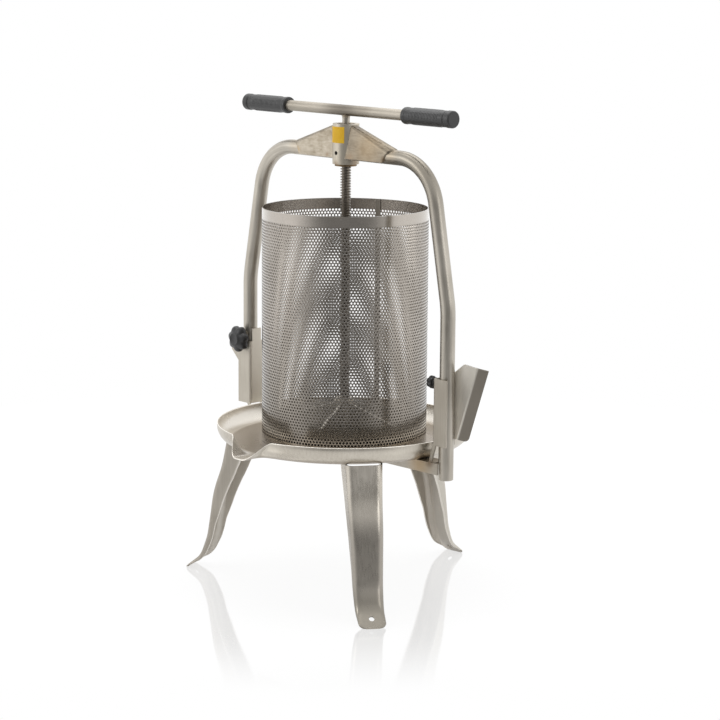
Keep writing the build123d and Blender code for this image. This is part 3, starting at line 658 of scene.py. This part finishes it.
# Basket steel, darker towards the bottom; its plain top margin is painted lighter, a painted highlight.
basket_steel = steel(
    "basket steel",
    (0.415, 0.377, 0.333),
    (0.315, 0.283, 0.245),
    (0.16, 0.29),
    shade=[
        ("Z", 430, 240, (0.24, 0.213, 0.18), 0.75),
        ("Z", 268, 230, (0.16, 0.14, 0.118), 0.5),
        ("Z", 561, 564, (0.64, 0.59, 0.53), 0.26),
    ],
    bump=0.1,
)
basket_gloss = {"Coat Weight": 0.8, "Coat Roughness": 0.2, "Coat IOR": 1.6}
plug(basket_steel.node_tree, basket_steel.node_tree.nodes["Principled BSDF"], basket_gloss)
pattern, pattern_triangles, pattern_panel = perforated_sheet()
for number in range(BASKET_PANELS):
    panel = rolled_panel(f"basket_panel_{number + 1}", pattern, pattern_triangles[pattern_panel == number])
    panel.data.materials.append(basket_steel)
    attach(panel, "basket")
    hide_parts("basket_shell")
seam_steel = steel("seam steel", (0.34, 0.31, 0.27), (0.22, 0.20, 0.17), (0.34, 0.5), grain=(1, 1, 0.05))
finish(seam_steel, "basket_seam")


# Bow, two stainless tubes bent from the boss out and down to the uprights. The right one runs lower.
# The tubes are welded to the boss and open below.
TUBE_RADIUS = 11.0
TUBE_WALL = 2.0
CROSSBAR_Z = 660.0
UPRIGHT_X = 219.0
BOW_CORNERS = [(180.0, CROSSBAR_Z), (UPRIGHT_X, 450.0)]
BOW_BENDS = [75.0, 150.0]
BOW_STEP = 5.0
BOW_START = 22.0
TUBE_SIDES = 40
BORE_ROWS = 5
END_ROUND = 0.6
BOSS_RADIUS = 20.0
BOSS_GAP = 0.05
TUBE_BOTTOMS = {"bow_tube_left": (-1, 250.0), "bow_tube_right": (1, 198.0)}


def bow_surface(hand, bottom):
    """Circles square to the bent line, from the boss to the open end, then back up inside the bore.

    The first circle is moved along the crossbar on to the boss, which it meets where x squared plus y squared
    is the boss radius squared.
    """
    corners = [(BOW_START, CROSSBAR_Z), *BOW_CORNERS, (UPRIGHT_X, bottom)]
    line = rounded(corners, BOW_BENDS, BOW_STEP)
    line[:, 0] *= hand
    line = np.concatenate([line[:1], line, line[-1:], line[-1:], line[-1 - BORE_ROWS : -1][::-1]])
    outer_end, end, inner_end = (-BORE_ROWS - rows for rows in (3, 2, 1))
    radius = np.full(len(line), TUBE_RADIUS)
    radius[end:] = TUBE_RADIUS - TUBE_WALL
    radius[end] = TUBE_RADIUS - TUBE_WALL / 2
    line[[outer_end, inner_end], 1] += END_ROUND
    travel = np.gradient(line, axis=0)
    travel[outer_end:] = (0, -1)
    travel[:2] = (hand, 0)
    travel = travel / np.linalg.norm(travel, axis=1, keepdims=True)
    angle = np.linspace(0, 2 * np.pi, TUBE_SIDES, endpoint=False)
    out = radius[:, None] * np.cos(angle)
    x = line[:, :1] + out * travel[:, 1:]
    y = radius[:, None] * np.sin(angle)
    z = line[:, 1:] - out * travel[:, :1]
    x[0] = hand * np.sqrt((BOSS_RADIUS + BOSS_GAP) ** 2 - y[0] ** 2)
    return np.stack([x, y, z], -1)


tube_steel = steel(
    "bow tube steel",
    (0.54, 0.505, 0.445),
    (0.38, 0.35, 0.30),
    (0.30, 0.44),
    grain=(1, 0.04, 1),
    coordinates="UV",
    tint=[
        # The first tint is a painted shade on the right tube's bend; the straw ones are heat colour at the
        # gussets' ends.
        ((165, 0, 645), 120, (0.25, 0.225, 0.185), 0.85),
        ((104, 0, 664), 22, STRAW, 0.45),
        ((-104, 0, 664), 22, STRAW, 0.35),
    ],
)
for tube_name, (hand, bottom) in TUBE_BOTTOMS.items():
    tube = skin(tube_name + "_bending", bow_surface(hand, bottom))
    tube.data.materials.append(tube_steel)
    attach(tube, "bow")
    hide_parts(tube_name)


# Two gussets, sheet folded over the tube like a tent and welded to boss and tube.
# Each is high and narrow-ridged at the boss and closes down to an arch on the tube.
GUSSET_SHEET = 2.0
GUSSET_FOOT = 652.0
GUSSET_START = 10.0
GUSSET_END = 104.0
GUSSET_END_FOOT = 91.0
GUSSET_RIDGES = np.array([704.3, 672.8])
GUSSET_RIDGE_HALVES = np.array([7.5, 12.8])
GUSSET_FOOT_HALVES = np.array([15.0, 12.8])
GUSSET_BENDS = np.array([3.0, 11.5])
GUSSET_WELD = 2.5
GUSSET_GAP = 0.1
WELD_SINK = 0.2
GUSSET_ROWS = 24
GUSSET_CREASE = 30.0


def gusset_surface(hand):
    """Ruled skin between a tall channel outline at the boss and a low one that sits on the tube.

    Each line starts where it meets the boss and ends on the slanting cut, which runs in from the ridge's end
    to the foot's end. The last row is the weld: the cut edge moved on and drawn in to the tube's surface.
    """
    half = GUSSET_SHEET / 2
    depths = GUSSET_RIDGES - half - GUSSET_FOOT
    loops = channel_loop(
        GUSSET_FOOT_HALVES - half, GUSSET_RIDGE_HALVES - half, depths, GUSSET_BENDS, GUSSET_SHEET
    )
    across, up = loops[..., 0], GUSSET_RIDGES[:, None] - half - loops[..., 1]
    reach = GUSSET_END - GUSSET_START
    boss = np.sqrt((BOSS_RADIUS + GUSSET_GAP) ** 2 - across[0] ** 2)
    first = (boss - GUSSET_START) / reach
    up_share = (up[1] - GUSSET_FOOT) / (GUSSET_RIDGES[1] - GUSSET_FOOT)
    cut = GUSSET_END_FOOT + (GUSSET_END - GUSSET_END_FOOT) * up_share
    last = (cut - GUSSET_START) / reach
    share = first + np.linspace(0, 1, GUSSET_ROWS)[:, None] * (last - first)
    y = across[0] + share * (across[1] - across[0])
    z = up[0] + share * (up[1] - up[0])
    drawn = np.minimum(1, (TUBE_RADIUS - WELD_SINK) / np.hypot(y[-1:], z[-1:] - CROSSBAR_Z))
    x = np.concatenate([GUSSET_START + share * reach, GUSSET_START + share[-1:] * reach + GUSSET_WELD])
    y = np.concatenate([y, y[-1:] * drawn])
    z = np.concatenate([z, CROSSBAR_Z + (z[-1:] - CROSSBAR_Z) * drawn])
    return np.stack([hand * x, y, z], -1)[:, ::-hand]


left_gusset_steel = steel(
    "left gusset steel",
    (0.47, 0.42, 0.345),
    (0.25, 0.21, 0.155),
    (0.32, 0.50),
    grain=(0.25, 1, 1),
    blotch=55.0,
    tint=[((-94, -12, 658), 9, STRAW, 0.6), ((-26, -15, 656), 5, BROWN, 0.85)],
)
# The right gusset's steel is a darker copy of the left one's: painted shade. Their tints are heat colour at the
# welds.
shaded_right_gusset_steel = steel(
    "right gusset steel",
    (0.34, 0.295, 0.23),
    (0.16, 0.132, 0.098),
    (0.34, 0.52),
    grain=(0.25, 1, 1),
    blotch=45.0,
    tint=[
        ((95, -13, 656), 9, (0.12, 0.08, 0.045), 0.95),
        ((24, -15, 655), 12, BROWN, 0.6),
        ((60, -14, 672), 40, STRAW, 0.25),
    ],
)
for gusset_name, hand, gusset_steel in (
    ("gusset_left", -1, left_gusset_steel),
    ("gusset_right", 1, shaded_right_gusset_steel),
):
    gusset = skin(gusset_name + "_folding", gusset_surface(hand), GUSSET_CREASE)
    gusset.data.materials.append(gusset_steel)
    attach(gusset, "bow")
    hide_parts(gusset_name)


# Nut boss, a thick turned sleeve, with the bronze nut pressed in from below and held by a grub screw.
# A plain yellow label is stuck on the boss between the gussets.
boss_steel = steel(
    "boss steel",
    (0.60, 0.55, 0.46),
    (0.44, 0.395, 0.325),
    (0.34, 0.48),
    grain=(1, 1, 12),
    tint=[((0, -20, 643), 9, BROWN, 0.7), ((20, 0, 646), 14, BROWN, 0.7)],
)
finish(boss_steel, "nut_boss")
grub_steel = steel("blackened grub screw", (0.06, 0.055, 0.05), (0.03, 0.028, 0.026), (0.35, 0.55))
finish(grub_steel, "grub_screw")
bronze = steel("dull bronze", (0.26, 0.18, 0.10), (0.12, 0.085, 0.05), (0.36, 0.58))
finish(bronze, "thread_nut")
COATING_DETAIL = 5.0
COATING_STOPS = (0.35, 0.65)
# Colour of the painted highlight on the grips' rib tops.
RIB_HIGHLIGHT_GREY = (0.11, 0.11, 0.11)


def coated(name, light, dark, rough, scale, bump, highlight_attribute=""):
    """Moulded or coated surface: two shades by soft noise, with roughness and a fine relief from the noise.

    The last argument names an attribute that is one where a painted highlight lightens the surface.
    """
    material = bpy.data.materials.new(name)
    material.use_nodes = True
    tree = material.node_tree
    place = tree.nodes.new("ShaderNodeTexCoord").outputs["Object"]
    grain = add_node(tree, "TexNoise", "Fac", {"Vector": place, "Scale": scale, "Detail": COATING_DETAIL})
    colour = two_tone(tree, grain, dark, light, *COATING_STOPS)
    if highlight_attribute:
        highlight_share = add_node(tree, "Attribute", "Fac", {}, attribute_name=highlight_attribute)
        colour = tinted(tree, colour, RIB_HIGHLIGHT_GREY, highlight_share)
    spread = eased(tree, grain, 0.0, 1.0, *rough, kind="LINEAR")
    relief = add_node(tree, "Bump", "Normal", {"Height": grain, "Strength": bump, "Distance": RELIEF_DEPTH})
    surface = {"Base Color": colour, "Roughness": spread, "Normal": relief}
    plug(tree, tree.nodes["Principled BSDF"], surface)
    return material


label_paper = coated("yellow label", (1.0, 0.62, 0.03), (0.95, 0.54, 0.02), (0.55, 0.7), 160.0, 0.1)
finish(label_paper, "label")


# Press plate, a turned-up disc with six welded fins and a hub that holds the screw's end by two pins.
# A thrust washer lies between the hub and the screw's shoulder.
# Plate steel, painted dark for the shade inside the basket, with its rim painted lighter: painted shade and
# painted light.
plate_steel = steel(
    "plate steel",
    (0.26, 0.235, 0.20),
    (0.16, 0.145, 0.12),
    (0.34, 0.52),
    shade=[("Z", 247.3, 249.0, (0.62, 0.57, 0.49), 0.9)],
)
finish(plate_steel, "plate_disc", "plate_hub", "thrust_washer", "hub_pins")
# The fins' steel is a lighter copy: a painted highlight on the fins' edges.
lit_fin_steel = steel("fin steel", (0.70, 0.67, 0.61), (0.55, 0.52, 0.46), (0.30, 0.46))
finish(lit_fin_steel, "plate_fins")


# Screw, turned from one bar with a right-hand trapezoidal thread, 16 mm across with 4 mm pitch.
# A plain journal with a groove for the pins is turned below it, and a plain neck above is welded to the bar.
PITCH = 4.0
CREST_RADIUS = 8.0
ROOT_RADIUS = 5.75
CREST_SHARE = 0.366
FLANK_ANGLE = 15.0
THREAD_CREASE = 30.0
THREAD_BOTTOM = 288.0
THREAD_TOP = 700.0
TURN_STEPS = 28
CORE_SIDES = 32
CORE_RADIUS = 5.7
CORE_PROFILE = [
    (0.6, 248.5), (4.9, 248.5), (5.5, 249.1), (5.5, 259.7), (3.6, 259.7), (3.6, 264.3), (5.5, 264.3),
    (5.5, 287.9), (CORE_RADIUS, THREAD_BOTTOM), (CORE_RADIUS, THREAD_TOP - 2), (CORE_RADIUS, THREAD_TOP - 1),
    (CORE_RADIUS, 708.0), (5.8, 711.0), (6.3, 713.4), (7.4, 715.4), (6.0, 716.5), (0.6, 716.5),
]


def thread_mesh():
    """Points and faces of the thread: at every step of angle, four corners of the profile in each pitch.

    The height rises by one pitch over a turn, so the last step joins the first one four corners further up.
    The crest sinks to the root over half a turn at both ends, and one face closes each end.
    """
    crest = CREST_SHARE * PITCH
    flank = (CREST_RADIUS - ROOT_RADIUS) * np.tan(radians(FLANK_ANGLE))
    corner_height = np.array([0.0, crest, crest + flank, PITCH - flank])
    turns = int((THREAD_TOP - THREAD_BOTTOM) / PITCH) - 1
    rows = 4 * turns
    row = np.arange(rows)[:, None]
    step = np.arange(TURN_STEPS)[None, :]
    angle = 2 * np.pi * step / TURN_STEPS
    height = THREAD_BOTTOM + PITCH * (row // 4) + corner_height[row % 4] + PITCH * step / TURN_STEPS
    fade = np.clip(np.minimum(height - THREAD_BOTTOM, THREAD_TOP - height) / (PITCH / 2), 0, 1)
    radius = np.where(row % 4 < 2, ROOT_RADIUS + (CREST_RADIUS - ROOT_RADIUS) * fade, ROOT_RADIUS)
    points = np.stack([radius * np.cos(angle), radius * np.sin(angle), height], -1).reshape(-1, 3)
    low, here = np.meshgrid(np.arange(rows - 1), np.arange(TURN_STEPS), indexing="ij")
    last = here == TURN_STEPS - 1
    beside = np.where(last, 0, here + 1)
    shift = np.where(last, 4, 0)
    whole = low + shift + 1 < rows
    near = low * TURN_STEPS + here
    far = (low + shift) * TURN_STEPS + beside
    quads = np.stack([near, far, far + TURN_STEPS, near + TURN_STEPS], -1)[whole]
    below = [k * TURN_STEPS for k in (1, 2, 3, 4)] + list(range(TURN_STEPS))[::-1]
    top = (rows - 1) * TURN_STEPS
    above = list(range(top, top + TURN_STEPS)) + [top + TURN_STEPS - 1 - k * TURN_STEPS for k in (1, 2, 3, 4)]
    return points, quads.tolist() + [below, above]


def turned(profile):
    """Rings of revolution: each (radius, height) of the profile becomes one ring round the screw's axis."""
    radius, height = np.array(profile).T[..., None]
    angle = np.linspace(0, 2 * np.pi, CORE_SIDES, endpoint=False)
    return np.stack(np.broadcast_arrays(radius * np.cos(angle), radius * np.sin(angle), height), -1)


screw_steel = steel("screw steel", (0.27, 0.24, 0.205), (0.14, 0.122, 0.10), (0.26, 0.42))
thread_points, thread_faces = thread_mesh()
thread = bpy.data.meshes.new("screw_thread")
thread.from_pydata((thread_points * MM).tolist(), [], thread_faces)
thread.shade_smooth()
thread.set_sharp_from_angle(angle=radians(THREAD_CREASE))
screw = placed("screw_thread", thread)
screw.data.materials.append(screw_steel)
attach(screw, "turning_screw")
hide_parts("screw")
core = skin("screw_core", turned(CORE_PROFILE))
neck_steel = steel(
    "neck steel",
    (0.50, 0.46, 0.40),
    (0.32, 0.29, 0.25),
    (0.24, 0.40),
    tint=[((0, 0, 716), 9, BROWN, 0.5)],
)
core.data.materials.append(neck_steel)
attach(core, "turning_screw")


# Handle bar, a straight stainless tube welded across the screw's neck, with dull heat colour round the weld.
# A ribbed rubber grip is pushed over each end.
bar_steel = steel(
    "handle bar steel",
    (0.47, 0.43, 0.37),
    (0.34, 0.31, 0.26),
    (0.40, 0.56),
    grain=(0.04, 1, 1),
    tint=[((0, 0, 724), 70, (0.17, 0.15, 0.125), 0.95), ((46, 0, 730), 22, (0.22, 0.19, 0.155), 0.45)],
)
finish(bar_steel, "handle_bar")
BAR_Z = 722.5
GRIP_INNER = 127.5
GRIP_OUTER = 225.5
GRIP_RADIUS = 12.0
GRIP_FLANGE = 12.6
GRIP_BORE = 8.1
GRIP_BORE_DEPTH = 6.0
GRIP_CHAMFER = 0.4
GRIP_SIDES = 96
RING_STEP = 0.52
CAP_LENGTH = 3.0
CAP_RADIUS = 10.0
CAP_RINGS = 7
CAP_CLOSING = [0.92, 0.6, 0.08]
CAP_STEEPEST = 0.999
INNER_FLANGE_HALF = 3.6
OUTER_FLANGE = 11.0
OUTER_FLANGE_STEP = 1.2
GROOVE_PLACE = 12.5
GROOVE_DEPTH = 0.8
RIB_PITCH = 3.0
RIB_DEPTH = 0.6
RIB_WAVE = (0.5, 0.9)
RIBS_FROM_INNER = 14.0
RIBS_FROM_OUTER = 20.0
RIBS_FADE = 5.0
STRIPS = 4
STRIP_WAVE = (0.75, 2.0)
STRIP_TURN = 45.0
STRIP_LEAN = 15.0


def grip_surface(hand):
    """Rings along the bar, and how far each point stands up on a rib: a flange at each end and ribs between.

    The ribs are a wave along the bar, cut off above and below, that fades out near the flanges and along four
    plain strips. The rings start as a short bore at the inner end and close to a point at the outer end.
    """
    cap_start = GRIP_OUTER - CAP_LENGTH
    bore = [GRIP_INNER + GRIP_BORE_DEPTH, GRIP_INNER]
    sleeve = np.arange(GRIP_INNER + GRIP_CHAMFER, cap_start, RING_STEP)
    rounding = GRIP_OUTER - CAP_LENGTH * (1 - np.sin(np.linspace(0, np.pi / 2, CAP_RINGS)))
    along = np.concatenate([bore, sleeve, rounding])
    cap = np.clip((along - cap_start) / CAP_LENGTH, 0, 1)
    inner = np.clip(1 - ((along - GRIP_INNER - INNER_FLANGE_HALF) / INNER_FLANGE_HALF) ** 2, 0, 1) ** 0.5
    outer = smooth((along - (GRIP_OUTER - OUTER_FLANGE)) / OUTER_FLANGE_STEP)
    groove = np.exp(-((along - (GRIP_OUTER - GROOVE_PLACE)) ** 2))
    body = GRIP_RADIUS + (GRIP_FLANGE - GRIP_RADIUS) * np.maximum(inner, outer) - GROOVE_DEPTH * groove
    body = body - (GRIP_FLANGE - CAP_RADIUS) * (1 - np.sqrt(1 - np.minimum(cap, CAP_STEEPEST) ** 2))
    angle = np.linspace(0, 2 * np.pi, GRIP_SIDES, endpoint=False)
    ribbed = smooth((along - GRIP_INNER - RIBS_FROM_INNER) / RIBS_FADE)
    ribbed = ribbed * smooth((GRIP_OUTER - RIBS_FROM_OUTER - along) / RIBS_FADE)
    rib = np.clip(RIB_WAVE[0] + RIB_WAVE[1] * np.cos(2 * np.pi * along / RIB_PITCH), 0, 1)
    strip_angle = STRIPS * (angle - radians(STRIP_TURN - STRIP_LEAN * hand))
    strip = np.clip(STRIP_WAVE[0] - STRIP_WAVE[1] * np.cos(strip_angle), 0, 1)
    height = (ribbed * rib)[:, None] * strip
    radius = body[:, None] + RIB_DEPTH * height
    radius[: len(bore)] = GRIP_BORE
    closing = np.array(CAP_CLOSING)[:, None] * radius[-1:]
    radius = np.concatenate([radius, closing])
    along = np.append(along, [GRIP_OUTER] * len(closing))
    x = np.broadcast_to(hand * along[:, None], radius.shape)
    height = np.concatenate([height, 0 * closing])
    return np.stack([x, hand * radius * np.cos(angle), BAR_Z + radius * np.sin(angle)], -1), height


# The grips' rib tops are painted lighter: a painted highlight.
grip_rubber = coated(
    "grip rubber", (0.042, 0.042, 0.042), (0.027, 0.027, 0.027), (0.32, 0.48), 900.0, 0.25, "rib_highlight"
)
for grip_name, hand in (("grip_left", -1), ("grip_right", 1)):
    surface, rib_highlight = grip_surface(hand)
    grip = skin(grip_name + "_moulding", surface)
    mark(grip, "rib_highlight", rib_highlight)
    grip.data.materials.append(grip_rubber)
    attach(grip, "turning_screw")
    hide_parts(grip_name)


# Two clamp screws, each a steel stud through a nut on its bracket, with a moulded knob pressed on.
# The left knob is a large seven-lobed star, and the right one is small with six shallow lobes.
stud_steel = steel("stud steel", (0.55, 0.53, 0.49), (0.38, 0.36, 0.33), (0.28, 0.44))
finish(stud_steel, "left_clamp_nut", "right_clamp_nut", "left_knob_stud", "right_knob_stud")
STAR_PROFILE = [
    (0.03, 0), (0.5, 0), (0.8, 0), (0.93, 0.8), (1, 2.6), (1, 6.2), (0.98, 8.2), (0.93, 10), (0.84, 11.5),
    (0.72, 12.7), (0.6, 13.6), (0.52, 14.8), (0.47, 15.8), (0.42, 16), (0.39, 15.5), (0.03, 15.4),
]
SMALL_PROFILE = [
    (0.03, 0), (0.45, 0), (0.52, 1.5), (0.9, 2.0), (1, 3.2), (1, 8.4), (0.93, 10.0), (0.75, 10.8), (0.03, 11),
]
LOBE_POINTS = 24
LOBE_POWER = 0.6
LOBES_START = 0.45
LOBES_FULL = 0.9
# Body, where the stud's axis crosses the upright's, direction, distance, profile, reach, dip and lobes.
KNOBS = {
    "left_knob": ("left_clamp_screw", (-UPRIGHT_X, 0, 352), (0, -1, 0), 19.3, STAR_PROFILE, 20.8, 3.4, 7),
    "right_knob": ("right_clamp_screw", (UPRIGHT_X, 0, 339), (-1, 0, 0), 24.0, SMALL_PROFILE, 9.5, 1.6, 6),
}


def knob_surface(centre, outward, back, profile, reach, dip, lobes):
    """Rings along a level direction whose radius swings by a cosine of the lobes, less towards the middle.

    The cosine is raised to a power under one, which makes the lobes broad and the hollows narrow. One lobe
    points straight down.
    """
    share, depth = np.array(profile, float).T
    angle = np.linspace(0, 2 * np.pi, LOBE_POINTS * lobes, endpoint=False)
    swing = (0.5 + 0.5 * np.cos(lobes * (angle + np.pi / 2))) ** LOBE_POWER
    lobed = smooth((share[:, None] - LOBES_START) / (LOBES_FULL - LOBES_START))
    radius = share[:, None] * (reach - dip * (1 - swing) * lobed)
    side = np.array([-outward[1], outward[0], 0.0])
    rise = np.array([0.0, 0.0, 1.0])
    ring = np.cos(angle)[:, None] * side + np.sin(angle)[:, None] * rise
    return np.array(centre) + (back + depth)[:, None, None] * np.array(outward) + radius[..., None] * ring


knob_plastic = coated("knob plastic", (0.030, 0.030, 0.031), (0.018, 0.018, 0.019), (0.34, 0.5), 500.0, 0.2)
for knob_name, (body, *shape) in KNOBS.items():
    knob = skin(knob_name + "_moulding", knob_surface(*shape))
    knob.data.materials.append(knob_plastic)
    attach(knob, body)
    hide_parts(knob_name)


# Studio: a round white glossy floor that keeps shadow and mirrors the legs, a white surround that is darker
# on the side of the photograph's camera, and three soft lamps.
FLOOR_RADIUS = 1.5
FLOOR_SIDES = 96
VIEW_HEADING = radians(46.848)
VIEW_SIDE = (np.sin(VIEW_HEADING), -np.cos(VIEW_HEADING), 0)
# Each range is (start, end, value at the start, value at the end), on the floor with start and end in metres.
FLOOR_WHITE = (0.16, 0.60, 0.84, 1.0)
FLOOR_GLOW = (0.7, 1.45, 1.0, 0.25)
FLOOR_MIRROR = (0.26, 0.55, 0.22, 0.0)
DARK_AHEAD = (0.15, 0.95, 0.0, 1.0)
DARK_UPWARDS = (0.08, 0.50, 1.0, 0.35)
ROOM_LIGHT = (0.0, 1.0, 1.15, 0.26)
DIFFUSE_LIGHT = 0.45
turn = np.linspace(0, 2 * np.pi, FLOOR_SIDES, endpoint=False)
floor_edge = FLOOR_RADIUS * np.stack([np.cos(turn), np.sin(turn), 0 * turn], -1)
floor_mesh = bpy.data.meshes.new("floor")
floor_mesh.from_pydata(floor_edge.tolist(), [], [list(range(FLOOR_SIDES))])
floor = placed("floor", floor_mesh)
floor_white = bpy.data.materials.new("white floor")
floor_white.use_nodes = True
tree = floor_white.node_tree
lit_floor = tree.nodes["Principled BSDF"]
plug(tree, lit_floor, {"Base Color": (0.86, 0.86, 0.86, 1), "Roughness": 0.6, "Specular IOR Level": 0.0})
ray = tree.nodes.new("ShaderNodeLightPath").outputs
seen = ray["Is Camera Ray"]
for kind in ("Is Glossy Ray", "Is Transmission Ray"):
    seen = add_node(tree, "Math", "Value", {0: seen, 1: ray[kind]}, operation="MAXIMUM")
spot = tree.nodes.new("ShaderNodeTexCoord").outputs["Object"]
from_press = add_node(tree, "VectorMath", "Value", {0: spot}, operation="LENGTH")
ahead = add_node(tree, "VectorMath", "Value", {0: spot, 1: VIEW_SIDE}, operation="DOT_PRODUCT")
reflected = eased(tree, ahead, *FLOOR_GLOW)
brightness = add_node(tree, "Mix", "Result", {"Factor": ray["Is Camera Ray"], "A": reflected, "B": 1.0})
glow = add_node(tree, "Emission", "Emission", {"Strength": brightness})
white = {0: seen, 1: eased(tree, from_press, *FLOOR_WHITE)}
white_share = add_node(tree, "Math", "Value", white, operation="MULTIPLY")
matt = add_node(tree, "MixShader", "Shader", {"Fac": white_share, 1: lit_floor.outputs["BSDF"], 2: glow})
mirror = add_node(tree, "BsdfGlossy", "BSDF", {"Color": (1, 1, 1, 1), "Roughness": 0.06})
mirror_share = eased(tree, ahead, *FLOOR_MIRROR)
glossy = add_node(tree, "MixShader", "Shader", {"Fac": mirror_share, 1: matt, 2: mirror})
plug(tree, tree.nodes["Material Output"], {"Surface": glossy})
floor_mesh.materials.append(floor_white)

world = bpy.data.worlds.new("white studio")
bpy.context.scene.world = world
world.use_nodes = True
tree = world.node_tree
sky = tree.nodes.new("ShaderNodeTexCoord").outputs["Generated"]
ahead = add_node(tree, "VectorMath", "Value", {0: sky, 1: VIEW_SIDE}, operation="DOT_PRODUCT")
upwards = add_node(tree, "SeparateXYZ", "Z", {"Vector": sky})
dark = {0: eased(tree, ahead, *DARK_AHEAD), 1: eased(tree, upwards, *DARK_UPWARDS)}
dark_share = add_node(tree, "Math", "Value", dark, operation="MULTIPLY")
strength = eased(tree, dark_share, *ROOM_LIGHT, kind="LINEAR")
ray = tree.nodes.new("ShaderNodeLightPath").outputs
for kind, own_strength in (("Is Camera Ray", 1.0), ("Is Diffuse Ray", DIFFUSE_LIGHT)):
    strength = add_node(tree, "Mix", "Result", {"Factor": ray[kind], "A": strength, "B": own_strength})
plug(tree, tree.nodes["Background"], {"Color": (1, 1, 1, 1), "Strength": strength})

# Place in metres, diameter in metres and power in watts.
LAMPS = {
    "overhead softbox": ((-0.4, 0.3, 2.2), 1.8, 14.0),
    "left softbox": ((-1.2, -2.0, 1.3), 1.2, 9.0),
    "right fill": ((2.6, 0.2, 1.2), 1.2, 6.0),
}
LAMP_AIM = Vector((0, 0, 0.35))
for lamp_name, (place, size, power) in LAMPS.items():
    lamp = bpy.data.lights.new(lamp_name, "AREA")
    lamp.shape = "DISK"
    lamp.size = size
    lamp.energy = power
    softbox = placed(lamp_name, lamp)
    softbox.location = place
    softbox.rotation_euler = (LAMP_AIM - Vector(place)).to_track_quat("-Z", "Y").to_euler()


# Camera, standing some way off to the right of the spout and a little higher than the press.
# It looks slightly down, with a long lens, and the camera's own slight roll is kept.
CAMERA_PLACE = (2.5756, -2.3824, 0.9852)
CAMERA_DOWN = 10.333
CAMERA_ROLL = 0.445
camera = bpy.data.cameras.new("photograph")
camera.sensor_width = 36.0
camera.lens = 117.78
viewer = placed("photograph", camera)
tilt = Matrix.Rotation(radians(90 - CAMERA_DOWN), 4, "X") @ Matrix.Rotation(radians(CAMERA_ROLL), 4, "Z")
viewer.matrix_world = Matrix.Translation(CAMERA_PLACE) @ Matrix.Rotation(VIEW_HEADING, 4, "Z") @ tilt
bpy.context.scene.camera = viewer
bpy.context.scene.view_settings.view_transform = "Standard"
